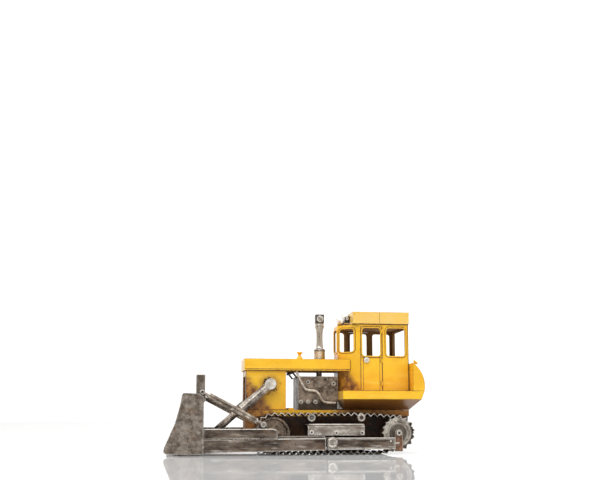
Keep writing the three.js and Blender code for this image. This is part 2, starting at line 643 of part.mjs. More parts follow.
function addArms() {
  const { front, rear, inside, outside, bottom, top, rise } = arm;
  const topAt = (x) => top + (0.4 * rise * (x - front)) / (rear - front);
  const profile = outline([[front, bottom], [rear, bottom + rise], [rear, topAt(rear)], [front, top]]);
  const tongue = sidePlate(outline([[20, 11], [58, 11, 7], [58, 26, 7], [20, 26]]), 77.4, 79.7);
  const lower = cut(
    join(
      sidePlate(profile, inside, outside),
      block(-32, rear, 77.4, 80, top, 28),
      tongue,
    ),
    crossRod(pivot.x, pivot.z, 75, 85, pivot.shaft + RUN_CLEARANCE),
  );
  addPair('push_arm', lower, FINISHES.darkSteel);

  const upperRear = -32.6;
  const upperTop = 38.6;
  const body = outline([
    [front, top + GAP], [upperRear, topAt(upperRear) + GAP], [upperRear, upperTop, 6], [front, upperTop],
  ]);
  const [pinX, pinZ] = brace.bottom;
  const lugTop = pinZ + 4.6;
  const lug = outline([[pinX - 9, 38], [pinX + 7, 38], [pinX + 5, lugTop, 4], [pinX - 5, lugTop, 4]]);
  const upper = join(sidePlate(body, inside, outside), sidePlate(lug, 78, 80.2));
  addPair('upper_arm', upper, FINISHES.darkSteel);
}

function addBraces() {
  const ends = [brace.top, brace.bottom].map(([x, z]) => new THREE.Vector3(x, brace.y, z));
  const along = ends[1].clone().sub(ends[0]);
  const at = (distance) => ends[0].clone().addScaledVector(along, distance / along.length()).toArray();
  const length = along.length();
  const eyes = [brace.top, brace.bottom].flatMap(([x, z]) => [
    crossRod(x, z, 80.5, 86, 4.4),
    crossRod(x, z, 86 - GAP, 87.6, 3.4, 6),
  ]);
  const tube = rod(at(11), at(length - 11), brace.radius, 16);
  const core = rod(at(2), at(length - 2), 2.5, 8);
  addPair('brace', join(core, tube, ...eyes), FINISHES.darkSteel);
}

// Each lift cylinder hangs from the trunnion shaft and points down and forward to the blade.
function addLiftCylinders() {
  const along = (distance) => [-distance * Math.cos(liftAngle), 0, -distance * Math.sin(liftAngle)];
  const halfEye = 6.8;
  const eye = crossRod(0, 0, -halfEye, halfEye, trunnion.eye, 20);
  const barrel = cut(
    join(eye, rod(along(2), along(lift.barrelLength), lift.barrelRadius, 20)),
    crossRod(0, 0, -halfEye - 1, 3, trunnion.shaft + RUN_CLEARANCE),
    rod(along(13), along(lift.barrelLength + 2), lift.rodRadius + RUN_CLEARANCE),
  );
  addPair('lift_barrel', barrel, FINISHES.brightSteel, [trunnion.x, lift.y, trunnion.z]);

  const [endX, , endZ] = along(lift.length);
  const piston = cut(
    join(rod(along(48), along(lift.length - 3), lift.rodRadius), crossRod(endX, endZ, -3.6, 3.6, 6, 20)),
    crossRod(endX, endZ, -5, 5, 4.4),
  );
  addPair('lift_rod', piston, FINISHES.darkSteel, [trunnion.x, lift.y, trunnion.z]);
}

addChassis();
addRadiator();
addHood();
addExhaust();
addEngine();
addCab();
addDoors();
addFender();
addBelts();
addWheels();
addTrackFrames();
addBlade();
addArms();
addBraces();
addLiftCylinders();

export default bulldozer;
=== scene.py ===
"""A handmade sheet steel toy bulldozer on a pale glossy studio floor.

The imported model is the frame: metres, +Z up, blade at -X, left side at -Y. This script gives every
part of it a worn paint or steel surface, replaces the turned parts with finer ones, and adds the
window beads, nuts, rivets and weld seams. Places and sizes of pieces are in millimetres, and MM
turns them into metres. Stains, edge widths and noise in the materials are in metres.
"""
import json
import math
import random

import bmesh
import bpy
from mathutils import Matrix, Vector

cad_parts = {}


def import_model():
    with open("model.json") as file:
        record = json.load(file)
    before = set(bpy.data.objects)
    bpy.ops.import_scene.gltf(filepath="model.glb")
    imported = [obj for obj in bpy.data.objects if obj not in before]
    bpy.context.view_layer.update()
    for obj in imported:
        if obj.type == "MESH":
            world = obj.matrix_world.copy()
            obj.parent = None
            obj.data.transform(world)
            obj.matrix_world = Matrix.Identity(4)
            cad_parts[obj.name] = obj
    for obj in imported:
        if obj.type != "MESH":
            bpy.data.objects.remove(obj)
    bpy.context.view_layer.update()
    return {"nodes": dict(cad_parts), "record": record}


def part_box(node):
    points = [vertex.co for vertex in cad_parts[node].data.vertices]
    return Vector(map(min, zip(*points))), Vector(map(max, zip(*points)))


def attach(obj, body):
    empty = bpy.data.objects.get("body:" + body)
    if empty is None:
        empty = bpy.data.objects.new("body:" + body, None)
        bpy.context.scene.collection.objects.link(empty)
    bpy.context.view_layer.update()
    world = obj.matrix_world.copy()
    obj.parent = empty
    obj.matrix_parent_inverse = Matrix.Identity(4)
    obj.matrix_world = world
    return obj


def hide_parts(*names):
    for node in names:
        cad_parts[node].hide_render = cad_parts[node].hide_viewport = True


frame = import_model()
NODES = frame["nodes"]
MM = 0.001
SIDES = {"left": -1, "right": 1}

# ---- places, in millimetres


def middle(node):
    low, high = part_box(node)
    return (low + high) / 2 / MM


def joint(name):
    return next(made for made in frame["record"]["behaviour"]["joints"] if made["name"] == name)


def joint_place(name):
    """The x and z of a level cross joint."""
    place = joint(name)["pos_m"]
    return place[0] / MM, place[2] / MM


CAB_FRONT, CAB_FOLD, CAB_REAR = 71.7, 101.2, 179.5
NOSE, CAB_SIDE, ROOF_SIDE = 17.0, 49.0, 52.0
SILL, FRONT_SILL, HEAD = 151.0, 158.2, 194.5
WINDOW_RADIUS = 4.0
DOOR_WINDOW = (105.2, 133.8)
REAR_SIDE_WINDOW = (143.8, 173.5)
FRONT_SIDE_WINDOW = (74.9, 93.2)
HOOD_SIDE = 36.1
RADIATOR_FRONT, RADIATOR_REAR, RADIATOR_SIDE = -75.4, -14.0, 33.1
DECK_TOP = 67.3
ENGINE_FACE = 29.8
GUARD_FACE = 75.0
ARM_FACE = 88.0
BEAM_FACE = 86.5
BELT_SIDE = 74.0
CARRIER_END = 74.8
PIVOT_FOOT = 77.0
BRACE_FACE = 86.0
PLATE_FACE = 90.6
EXHAUST_X = middle("exhaust_tube").x
TRUNNION = joint_place("lift_barrel_left_swing")
PIVOT = joint_place("blade_lift")
SPROCKET = joint_place("sprocket_left_spin")
IDLER = joint_place("idler_left_spin")
CARRIERS = {"front": joint_place("carrier_front_left_spin"), "rear": joint_place("carrier_rear_left_spin")}
BRACE_PINS = ((-143.5, 92.3), (-53.4, 45.1))


# ---- shader helper


class Nodes:
    """Adds and links the nodes of one tree."""

    def __init__(self, tree):
        self.tree = tree

    def add(self, kind, **settings):
        node = self.tree.nodes.new(kind)
        for key, value in settings.items():
            setattr(node, key, value)
        return node

    def put(self, socket, value):
        """Links a socket, or sets it. Colours are opaque, so they are given as red, green and blue."""
        if isinstance(value, bpy.types.NodeSocket):
            self.tree.links.new(value, socket)
        else:
            socket.default_value = (*value, 1.0) if socket.type == "RGBA" else value

    def fill(self, node, *values):
        """Puts values into a node's first sockets, in order."""
        for socket, value in zip(node.inputs, values):
            self.put(socket, value)
        return node

    def named(self, node, **values):
        """Puts values into a node's sockets by name."""
        for key, value in values.items():
            self.put(node.inputs[key], value)
        return node

    def math(self, operation, *values, clamp=False):
        node = self.add("ShaderNodeMath", operation=operation, use_clamp=clamp)
        return self.fill(node, *values).outputs[0]

    def times(self, first, second):
        return self.math("MULTIPLY", first, second)

    def plus(self, first, second):
        return self.math("ADD", first, second)

    def minus(self, first, second):
        return self.math("SUBTRACT", first, second)

    def most(self, first, second):
        return self.math("MAXIMUM", first, second)

    def vector(self, operation, *values):
        return self.fill(self.add("ShaderNodeVectorMath", operation=operation), *values).outputs

    def map_range(self, value, source, target, kind="LINEAR"):
        """Carries a value from one (low, high) range to another."""
        node = self.add("ShaderNodeMapRange", interpolation_type=kind)
        return self.fill(node, value, *source, *target).outputs["Result"]

    def ramp(self, value, low, high):
        """0 below low, 1 above high, and smooth between them."""
        return self.map_range(value, (low, high), (0.0, 1.0), "SMOOTHSTEP")

    def fall(self, value, low, high):
        """1 below low, 0 above high, and smooth between them."""
        return self.minus(1.0, self.ramp(value, low, high))

    def span(self, value, low, high):
        """Spreads a 0 to 1 value over low to high."""
        return self.map_range(value, (0.0, 1.0), (low, high))


class Shader(Nodes):
    """One material. Its textures lie in object space, in metres."""

    def __init__(self, name):
        self.material = bpy.data.materials.new(name)
        self.material.use_nodes = True
        super().__init__(self.material.node_tree)
        self.surface = self.tree.nodes["Principled BSDF"]
        coordinates = self.add("ShaderNodeTexCoord").outputs
        self.place = coordinates["Object"]
        self.normal = coordinates["Normal"]

    def stretch(self, scale):
        return self.vector("MULTIPLY", self.place, scale)[0]

    def noise(self, scale, detail=4.0, roughness=0.55, place=None):
        node = self.add("ShaderNodeTexNoise")
        self.named(node, Vector=place or self.place, Scale=scale, Detail=detail, Roughness=roughness)
        return node.outputs["Fac"]

    def patches(self, scale, detail, low, high, roughness=0.55):
        """Soft edged patches: noise that is cut off below low and above high."""
        return self.ramp(self.noise(scale, detail, roughness), low, high)

    def wavy(self, value, reach, noise):
        """A value that noise shifts by up to reach, for a ragged edge."""
        return self.plus(value, self.times(noise, reach))

    def mix(self, amount, first, second):
        node = self.named(self.add("ShaderNodeMix", data_type="RGBA"), Factor=amount)
        colours = [s for s in node.inputs if s.type == "RGBA"]
        self.put(colours[0], first)
        self.put(colours[1], second)
        return [s for s in node.outputs if s.type == "RGBA"][0]

    def tint(self, colour, other, where, strength):
        """Lays another colour over the first one where asked, and at most that strongly."""
        return self.mix(self.times(where, strength), colour, other)

    def axis(self, index, normal=False):
        """One component of the place, or of the surface normal, in object space."""
        source = self.normal if normal else self.place
        return self.fill(self.add("ShaderNodeSeparateXYZ"), source).outputs[index]

    def edges(self, radius, low=0.02, high=0.12):
        """1 along the sharp edges and 0 on flat stretches."""
        bevel = self.named(self.add("ShaderNodeBevel", samples=6), Radius=radius)
        flat = self.add("ShaderNodeNewGeometry").outputs["True Normal"]
        alike = self.vector("DOT_PRODUCT", bevel.outputs["Normal"], flat)["Value"]
        return self.ramp(self.minus(1.0, alike), low, high)

    def crevices(self, distance):
        """1 in corners and under ledges, 0 in the open."""
        node = self.named(self.add("ShaderNodeAmbientOcclusion", samples=6), Distance=distance)
        return self.minus(1.0, node.outputs["AO"])

    def distance_from(self, x, z):
        """Distance in metres from a level cross axis at x, z in millimetres."""
        flat = self.vector("MULTIPLY_ADD", self.place, (1.0, 0.0, 1.0), (-x * MM, 0.0, -z * MM))[0]
        return self.vector("LENGTH", flat)["Value"]

    def facing_from(self, centre):
        """Above 0 on faces that look away from a centre in metres, and below 0 on those towards it."""
        out = self.vector("SUBTRACT", self.place, centre)[0]
        return self.vector("DOT_PRODUCT", out, self.normal)["Value"]

    def bump(self, height, strength, distance):
        node = self.named(self.add("ShaderNodeBump"), Height=height, Strength=strength, Distance=distance)
        self.put(self.surface.inputs["Normal"], node.outputs["Normal"])

    def set(self, **sockets):
        names = {"colour": "Base Color", "roughness": "Roughness", "metallic": "Metallic",
                 "coat": "Coat Weight", "coat_roughness": "Coat Roughness"}
        for key, value in sockets.items():
            self.put(self.surface.inputs[names[key]], value)


# ---- materials

YELLOW = (0.95, 0.55, 0.018)
YELLOW_DEEP = (0.88, 0.455, 0.010)
YELLOW_PALE = (0.97, 0.64, 0.08)
YELLOW_FADED = (0.86, 0.60, 0.20)
# These rust and burnt colours also serve as painted shade and painted shadow.
RUST_AND_SHADE = (0.15, 0.050, 0.014)
RUST_ORANGE_AND_SHADE = (0.42, 0.17, 0.035)
BROWN = (0.17, 0.085, 0.040)
BURNT_AND_SHADE = (0.022, 0.013, 0.008)
# dark brown painted shade for the inside of the cab
INSIDE_SHADE_BROWN = (0.17, 0.085, 0.038)
CAB_MIDDLE = (0.1256, 0.0, 0.150)


def yellow_paint(name, burn=None, rusty_ends=None, grimy_and_shaded_below=None, wear=1.0, hollow=None, faded=0.0,
                 shadowed_and_rusty_nose=False):
    """Hand brushed enamel: uneven colour, orange brown painted shade in corners and under ledges, rust at
    the folds, and stains, partly painted shadow, where they are asked for.

    burn is an x, z place that a weld has scorched, rusty_ends an x range outside which the paint
    has gone to rust, grimy_and_shaded_below a height range over which it goes orange and then brown towards
    the bottom, partly grime and partly painted shade, hollow a place that the faces given painted shade
    inside look towards, and faded how far it is paled towards a washed out yellow.
    """
    s = Shader(name)
    brushed = s.noise(60.0, 3.0, place=s.stretch((0.25, 1.0, 2.2)))
    colour = s.mix(s.patches(24.0, 5.0, 0.34, 0.66), YELLOW_DEEP, YELLOW)
    colour = s.tint(colour, YELLOW_PALE, s.ramp(brushed, 0.5, 0.75), 0.5)
    if faded:
        bleached = s.span(s.patches(35.0, 4.0, 0.3, 0.7), faded * 0.6, faded)
        colour = s.mix(bleached, colour, YELLOW_FADED)
    # painted shade: orange brown in corners and under ledges
    colour = s.tint(colour, RUST_ORANGE_AND_SHADE, s.ramp(s.crevices(0.045), 0.35, 0.95), 0.62)
    corner = s.ramp(s.crevices(0.006), 0.38, 0.75)
    colour = s.tint(colour, RUST_AND_SHADE, s.times(corner, s.patches(90.0, 6.0, 0.25, 0.55)), 0.95)
    chips = s.times(s.edges(0.0014), s.patches(190.0, 6.0, 0.42, 0.56, 0.65))
    specks = s.patches(330.0, 2.0, 0.74, 0.78)
    worn = s.most(s.times(chips, 0.9 * wear), s.times(specks, 0.7))
    colour = s.mix(worn, colour, RUST_AND_SHADE)
    if burn:
        colour, spoiled = scorched(s, colour, burn)
        worn = s.most(worn, spoiled)
    if rusty_ends:
        colour, spoiled = rusted_ends(s, colour, *rusty_ends)
        worn = s.most(worn, spoiled)
    # grime and painted shade, darker towards the bottom of the fender
    if grimy_and_shaded_below:
        colour = grime_and_shade(s, colour, *grimy_and_shaded_below)
    # painted shadow of the hood on the cab's front corner, with rust patches
    if shadowed_and_rusty_nose:
        colour = nose_shadow_and_rust(s, colour)
    # painted shade inside the cab
    if hollow:
        colour, spoiled = shaded_inside(s, colour, hollow)
        worn = s.most(worn, spoiled)
    s.set(colour=colour, metallic=0.0, coat=s.span(worn, 0.35, 0.0), coat_roughness=0.18)
    s.set(roughness=s.span(worn, 0.34, 0.78))
    s.bump(s.minus(s.times(s.noise(140.0), 0.5), worn), 0.35, 0.0004)
    return s.material


def scorched(s, colour, burn):
    """A ragged black ring round a weld, chipped paint behind it, and rust below it, which is also the lift
    barrel's painted shadow.
    """
    distance = s.distance_from(*burn)
    ragged = s.wavy(distance, 0.017, s.noise(170.0, 6.0, 0.75))
    scorch = s.fall(ragged, 0.0182, 0.0200)
    halo = s.fall(ragged, 0.019, 0.0285)
    near = s.fall(distance, 0.013, 0.020)
    behind = s.ramp(s.minus(s.axis(0), s.axis(2)), -0.139, -0.132)
    chipped = s.times(s.times(near, behind), s.patches(260.0, 3.0, 0.53, 0.57))
    # a brown patch below the lift barrel: partly rust, partly the barrel's painted shadow
    rise = s.times(s.minus(s.axis(2), DECK_TOP * MM), 0.75)
    from_corner = s.plus(s.minus(s.axis(0), RADIATOR_FRONT * MM), rise)
    stain_and_shadow = s.fall(s.wavy(from_corner, 0.016, s.noise(75.0, 6.0, 0.65)), 0.040, 0.056)
    colour = s.tint(colour, RUST_ORANGE_AND_SHADE, s.most(s.times(halo, 0.6), stain_and_shadow), 0.9)
    colour = s.mix(s.times(stain_and_shadow, s.patches(120.0, 5.0, 0.40, 0.65)), colour, RUST_AND_SHADE)
    spoiled = s.most(scorch, chipped)
    return s.tint(colour, BURNT_AND_SHADE, spoiled, 0.95), spoiled


def rusted_ends(s, colour, first, last, soft=0.014):
    """Rust outside an x range, with dark spots in it and a soft edge."""
    along = s.wavy(s.axis(0), 0.10, s.minus(s.noise(55.0, 6.0, 0.65), 0.5))
    ends = s.most(s.fall(along, first - soft, first + soft), s.ramp(along, last - soft, last + soft))
    colour = s.tint(colour, RUST_ORANGE_AND_SHADE, ends, 0.9)
    dark_spots = s.times(ends, s.patches(150.0, 6.0, 0.42, 0.62))
    return s.tint(colour, RUST_AND_SHADE, dark_spots, 0.8), s.times(ends, 0.8)


def grime_and_shade(s, colour, low, high):
    """Orange and then brown down a height range, partly grime and partly painted shade, and brown on faces
    that look down, as painted shade.
    """
    half = (low + high) / 2
    height = s.wavy(s.axis(2), 0.008, s.noise(45.0, 5.0))
    colour = s.tint(colour, RUST_ORANGE_AND_SHADE, s.fall(height, half, high), 0.8)
    colour = s.tint(colour, RUST_AND_SHADE, s.fall(height, low, half), 0.85)
    # painted shade: faces that look down turn brown
    below = s.ramp(s.times(s.axis(2, normal=True), -1.0), 0.2, 0.7)
    return s.tint(colour, RUST_AND_SHADE, below, 0.85)


def nose_shadow_and_rust(s, colour):
    """Painted shadow of the hood on the low front corner of the cab, orange up to a slanting edge, with rust
    patches in it.
    """
    slant = s.plus(s.axis(0), s.times(s.axis(2), 0.55))
    nose = s.fall(s.wavy(slant, 0.016, s.noise(60.0, 6.0, 0.65)), 0.158, 0.168)
    colour = s.tint(colour, RUST_ORANGE_AND_SHADE, nose, 0.8)
    return s.mix(s.times(nose, s.patches(120.0, 5.0, 0.4, 0.65)), colour, RUST_AND_SHADE)


def shaded_inside(s, colour, centre):
    """Painted shade: dark brown on the faces that look towards a centre, for the shaded inside of the cab.
    """
    inner = s.fall(s.facing_from(centre), -0.012, -0.004)
    inside_colour = s.mix(s.patches(70.0, 5.0, 0.35, 0.65), INSIDE_SHADE_BROWN, RUST_AND_SHADE)
    return s.tint(colour, inside_colour, inner, 0.88), inner


def steel(name, dark, light, edge, roughness=(0.25, 0.5), metallic=0.75, grain=(1.0, 1.0, 1.0),
          scale=45.0, wear=0.9, rust=0.35, black_below=None, edge_width=0.0022, streaky=0.38,
          drawn=(1.0, 1.0, 1.0), dark_rim=None, orange_before=None, dark_front=False):
    """Browned sheet steel: mottled, scratched along its grain, lighter on its edges as worn polish and
    painted highlight, and darker in its crevices as painted shade.

    black_below is a height range below which it goes black, orange_before an x range over which rust comes
    in, dark_rim the x, z and inner radius of a wheel's darker rim in millimetres, and dark_front
    blackens the faces that look forwards.
    """
    s = Shader(name)
    mottled = s.ramp(s.noise(scale, 8.0, 0.68, s.stretch(drawn)), 0.36, 0.64)
    streaks = s.noise(scale * 4.0, 4.0, place=s.stretch(grain))
    colour = s.mix(mottled, dark, light)
    colour = s.tint(colour, edge, s.ramp(streaks, 0.56, 0.70), streaky)
    colour = s.tint(colour, BROWN, s.patches(scale * 0.8, 6.0, 0.5, 0.68, 0.7), rust)
    if orange_before:
        along = s.wavy(s.axis(0), 0.03, s.minus(s.noise(70.0, 6.0), 0.5))
        colour = s.tint(colour, RUST_ORANGE_AND_SHADE, s.fall(along, *orange_before), 0.85)
    pits = s.patches(scale * 6.0, 5.0, 0.56, 0.70, 0.7)
    colour = s.tint(colour, BURNT_AND_SHADE, pits, 0.75)
    # lighter edges: partly polish from handling, partly painted highlight
    polished_and_highlight = s.times(s.edges(edge_width, 0.01, 0.09), s.patches(110.0, 5.0, 0.30, 0.50))
    polished_and_highlight = s.times(polished_and_highlight, wear)
    colour = s.mix(polished_and_highlight, colour, edge)
    # painted shade: darker in crevices and under ledges
    shade_and_dark_marks = s.ramp(s.crevices(0.012), 0.35, 0.9)
    if black_below:
        height = s.wavy(s.axis(2), 0.006, s.noise(60.0, 5.0))
        shade_and_dark_marks = s.most(shade_and_dark_marks, s.fall(height, *black_below))
    if dark_front:
        forward = s.ramp(s.times(s.axis(0, normal=True), -1.0), 0.4, 0.8)
        shade_and_dark_marks = s.most(shade_and_dark_marks, s.times(forward, 0.75))
    if dark_rim:
        shade_and_dark_marks = s.most(shade_and_dark_marks, darker_rim(s, *dark_rim))
    colour = s.tint(colour, BURNT_AND_SHADE, shade_and_dark_marks, 0.85)
    rough = s.span(s.math("SUBTRACT", mottled, polished_and_highlight, clamp=True), *roughness)
    s.set(colour=colour, metallic=metallic, roughness=rough)
    relief = s.plus(s.times(mottled, 0.6), s.times(streaks, 0.4))
    s.bump(s.minus(relief, pits), 0.35, 0.0005)
    return s.material


def darker_rim(s, x, z, inside, lean=0.6):
    """Darkens the lower rear part of a wheel's rim, outside a radius."""
    outer = s.ramp(s.distance_from(x, z), inside * MM, (inside + 2.0) * MM)
    slope = s.minus(s.axis(0), s.times(s.axis(2), lean))
    slope = s.wavy(slope, 0.008, s.noise(120.0, 5.0))
    middle_line = (x - lean * z) * MM
    return s.times(outer, s.ramp(slope, middle_line + 0.009, middle_line + 0.014))


def belt_steel():
    """The strip is black on its broad faces, as oil and painted shade, and pale on its cut edges, as clean
    steel and painted highlight.
    """
    s = Shader("belt_steel")
    # painted light: the broad faces darkened as shade, the cut edges lightened as highlight
    cut_edge = s.ramp(s.math("ABSOLUTE", s.axis(1, normal=True)), 0.45, 0.8)
    grit = s.noise(150.0, 5.0, 0.65)
    broad = s.mix(s.ramp(grit, 0.4, 0.65), (0.008, 0.006, 0.005), (0.06, 0.045, 0.032))
    bare_and_highlight = s.mix(s.ramp(grit, 0.36, 0.6), (0.24, 0.19, 0.14), (0.82, 0.77, 0.70))
    s.set(colour=s.mix(cut_edge, broad, bare_and_highlight), metallic=0.5, roughness=s.span(grit, 0.3, 0.55))
    s.bump(grit, 0.3, 0.0003)
    return s.material


def lamp_glass(radians_per_metre=4200.0):
    """Cloudy white lens with faint moulded ribs."""
    s = Shader("lamp_glass")
    ribs = s.math("SINE", s.times(s.axis(1), radians_per_metre))
    haze = s.noise(260.0, 3.0)
    s.set(colour=s.mix(haze, (0.86, 0.86, 0.83), (0.96, 0.96, 0.94)), roughness=0.12, coat=0.6)
    s.bump(s.plus(ribs, haze), 0.25, 0.0003)
    return s.material


def studio_floor():
    """A white sheet of acrylic, lit a little from below, with a thin mirror reflection."""
    s = Shader("studio_floor")
    haze = s.noise(3.0, 3.0)
    s.set(colour=s.mix(haze, (0.70, 0.70, 0.70), (0.74, 0.74, 0.74)), roughness=0.9)
    s.put(s.surface.inputs["Specular IOR Level"], 0.0)
    s.put(s.surface.inputs["Emission Color"], (1.0, 1.0, 1.0))
    s.put(s.surface.inputs["Emission Strength"], 0.10)
    gloss = s.named(s.add("ShaderNodeBsdfGlossy"), Roughness=0.035, Color=(0.95, 0.945, 0.94))
    blend = s.add("ShaderNodeMixShader")
    s.fill(blend, s.span(haze, 0.64, 0.67), s.surface.outputs[0], gloss.outputs[0])
    s.put(s.tree.nodes["Material Output"].inputs["Surface"], blend.outputs[0])
    return s.material


MATERIALS = {
    "paint": yellow_paint("yellow_paint"),
    "paint_radiator": yellow_paint("yellow_paint_radiator", burn=TRUNNION),
    "paint_deck": yellow_paint("yellow_paint_deck", rusty_ends=(-0.030, 0.068)),
    "paint_fender": yellow_paint("yellow_paint_fender", grimy_and_shaded_below=(0.070, 0.0895)),
    "paint_bead": yellow_paint("yellow_paint_bead", wear=0.5),
    "paint_cab": yellow_paint("yellow_paint_cab", hollow=CAB_MIDDLE, shadowed_and_rusty_nose=True),
    "paint_roof": yellow_paint("yellow_paint_roof", hollow=CAB_MIDDLE, faded=0.75),
    "seam": steel("rusty_seam", (0.09, 0.037, 0.010), (0.26, 0.115, 0.028), (0.42, 0.22, 0.06),
        metallic=0.0, roughness=(0.6, 0.8), scale=90.0, wear=0.3),
    "arm": steel("arm_steel", (0.065, 0.047, 0.036), (0.24, 0.19, 0.15), (0.84, 0.78, 0.70),
        grain=(0.12, 1, 1), drawn=(0.3, 1, 1), scale=75.0, streaky=0.5, edge_width=0.0030, rust=0.6),
    "blade": steel("blade_iron", (0.15, 0.12, 0.094), (0.34, 0.29, 0.24), (0.74, 0.69, 0.62),
        roughness=(0.3, 0.5), scale=85.0, rust=0.5, streaky=0.16),
    "guard": steel("guard_steel", (0.22, 0.175, 0.135), (0.74, 0.67, 0.58), (0.96, 0.93, 0.88),
        roughness=(0.14, 0.34), metallic=0.6, grain=(0.1, 1, 1), drawn=(0.35, 1, 1), scale=60.0),
    "wheel": steel("wheel_steel", (0.07, 0.047, 0.032), (0.32, 0.22, 0.145), (0.78, 0.68, 0.56),
        scale=60.0, rust=0.5),
    "bright": steel("bright_steel", (0.34, 0.29, 0.22), (0.72, 0.68, 0.61), (0.93, 0.91, 0.87),
        roughness=(0.14, 0.32), metallic=0.95, rust=0.35),
    "worn": steel("worn_steel", (0.15, 0.115, 0.085), (0.46, 0.40, 0.33), (0.86, 0.82, 0.76),
        roughness=(0.25, 0.45), metallic=0.55, scale=75.0, rust=0.5),
    "sprocket": steel("sprocket_steel", (0.15, 0.115, 0.085), (0.52, 0.46, 0.38), (0.88, 0.84, 0.78),
        roughness=(0.25, 0.45), metallic=0.5, scale=80.0, rust=0.55, dark_rim=(*SPROCKET, 19.5)),
    "chrome": steel("lamp_chrome", (0.66, 0.64, 0.61), (0.88, 0.87, 0.85), (0.96, 0.95, 0.94),
        roughness=(0.12, 0.28), metallic=0.3, rust=0.08),
    "silver": steel("exhaust_steel", (0.40, 0.35, 0.28), (0.80, 0.75, 0.68), (0.96, 0.94, 0.90),
        roughness=(0.12, 0.28), metallic=0.5, rust=0.3, grain=(1, 1, 0.08), streaky=0.6,
        drawn=(1, 1, 0.15)),
    "barrel": steel("cylinder_steel", (0.14, 0.11, 0.085), (0.56, 0.50, 0.43), (0.92, 0.89, 0.84),
        roughness=(0.12, 0.30), metallic=0.4, scale=60.0, rust=0.4),
    "oily": steel("oily_iron", (0.016, 0.012, 0.009), (0.10, 0.078, 0.058), (0.42, 0.36, 0.29),
        roughness=(0.35, 0.6), metallic=0.4, scale=80.0, wear=0.6, streaky=0.12),
    "brace": steel("brace_steel", (0.09, 0.068, 0.05), (0.40, 0.33, 0.26), (0.88, 0.83, 0.76),
        roughness=(0.12, 0.30), metallic=0.85, scale=70.0, rust=0.5),
    "copper": steel("copper_pipe", (0.36, 0.29, 0.22), (0.70, 0.62, 0.52), (0.93, 0.89, 0.82),
        roughness=(0.16, 0.32), metallic=0.45, scale=80.0, rust=0.3, streaky=0.2),
    # near black discs and blocks in bores, recesses and slots, as painted shade
    "hole": steel("painted_hole_shade", (0.006, 0.005, 0.004), (0.02, 0.015, 0.012), (0.05, 0.04, 0.03),
        roughness=(0.5, 0.7), metallic=0.0, wear=0.2),
    "pale": steel("pale_steel", (0.40, 0.35, 0.28), (0.76, 0.71, 0.64), (0.92, 0.89, 0.84),
        roughness=(0.3, 0.5), metallic=0.35, rust=0.4, scale=70.0),
    "engine": steel("engine_plate", (0.075, 0.052, 0.036), (0.34, 0.26, 0.19), (0.58, 0.50, 0.40),
        metallic=0.3, scale=60.0, rust=0.6, black_below=(0.080, 0.085), dark_front=True),
    "black": steel("black_iron", (0.008, 0.006, 0.005), (0.03, 0.023, 0.018), (0.10, 0.08, 0.06),
        roughness=(0.55, 0.75), metallic=0.1, wear=0.35, streaky=0.15),
    "hull": steel("rusty_hull", (0.014, 0.007, 0.004), (0.10, 0.038, 0.015), (0.18, 0.10, 0.05),
        roughness=(0.5, 0.8), metallic=0.1, rust=0.4, orange_before=(-0.052, -0.036)),
    "rod": steel("rod_steel", (0.07, 0.052, 0.04), (0.34, 0.28, 0.22), (0.82, 0.77, 0.70),
        roughness=(0.16, 0.38), metallic=0.85, grain=(0.4, 1, 0.4), scale=60.0),
    "strap": steel("rusty_strap", (0.10, 0.045, 0.022), (0.30, 0.15, 0.085), (0.55, 0.42, 0.32),
        metallic=0.2, roughness=(0.4, 0.65), scale=80.0, rust=0.6),
    "belt": belt_steel(),
    "lens": lamp_glass(),
}

NODE_MATERIALS = {
    "paint": ["hood_lid", "fuel_tank"],
    "paint_cab": ["cab_shell", "door_left", "door_right"],
    "paint_roof": ["cab_roof"],
    "paint_radiator": ["radiator_housing"],
    "paint_deck": ["deck_plate"],
    "paint_fender": ["fender_body"],
    "arm": ["push_arm", "upper_arm", "track_beam"],
    "blade": ["moldboard", "blade_end_plate", "spill_guard", "cutting_edge"],
    "guard": ["roller_guard", "carrier_roller"],
    "barrel": ["lift_barrel"],
    "brace": ["brace"],
    "oily": ["exhaust_head"],
    "pale": ["sprocket_axle"],
    "engine": ["engine_block", "engine_plate"],
    "black": ["hood_stay", "radiator_grille"],
    "hull": ["chassis_hull"],
    "rod": ["lift_rod", "idler_axle", "trunnion_shaft"],
    "belt": ["track_belt"],
}
BEVELS = {"arm": 0.0007, "blade": 0.0006, "rod": 0.0004, "bright": 0.0004, "belt": 0.0001}


# ---- soft edges for the CAD parts


def smooth_by_angle(limit):
    """A node group that shades smooth and keeps the edges sharper than limit sharp."""
    group = bpy.data.node_groups.new("smooth_by_angle", "GeometryNodeTree")
    for direction in ("INPUT", "OUTPUT"):
        group.interface.new_socket("Geometry", in_out=direction, socket_type="NodeSocketGeometry")
    n = Nodes(group)
    start, end = n.add("NodeGroupInput"), n.add("NodeGroupOutput")
    angle = n.add("GeometryNodeInputMeshEdgeAngle").outputs["Unsigned Angle"]
    soft = n.fill(n.add("FunctionNodeCompare", operation="LESS_THAN"), angle, limit)
    faces = n.named(n.add("GeometryNodeSetShadeSmooth", domain="FACE"), Geometry=start.outputs[0])
    edges = n.named(n.add("GeometryNodeSetShadeSmooth", domain="EDGE"), Geometry=faces.outputs[0])
    n.put(edges.inputs["Shade Smooth"], soft.outputs[0])
    n.put(end.inputs[0], edges.outputs[0])
    return group


SMOOTH = smooth_by_angle(math.radians(40))


def soften(piece, width=0.00035):
    """A small rolled edge all round, as folded and filed sheet has."""
    if width:
        bevel = piece.modifiers.new("rolled_edges", "BEVEL")
        bevel.width = width
        bevel.segments = 2
        bevel.limit_method = "ANGLE"
        bevel.angle_limit = math.radians(38)
    piece.modifiers.new("smooth", "NODES").node_group = SMOOTH
    weighted = piece.modifiers.new("flat_faces", "WEIGHTED_NORMAL")
    weighted.keep_sharp = True


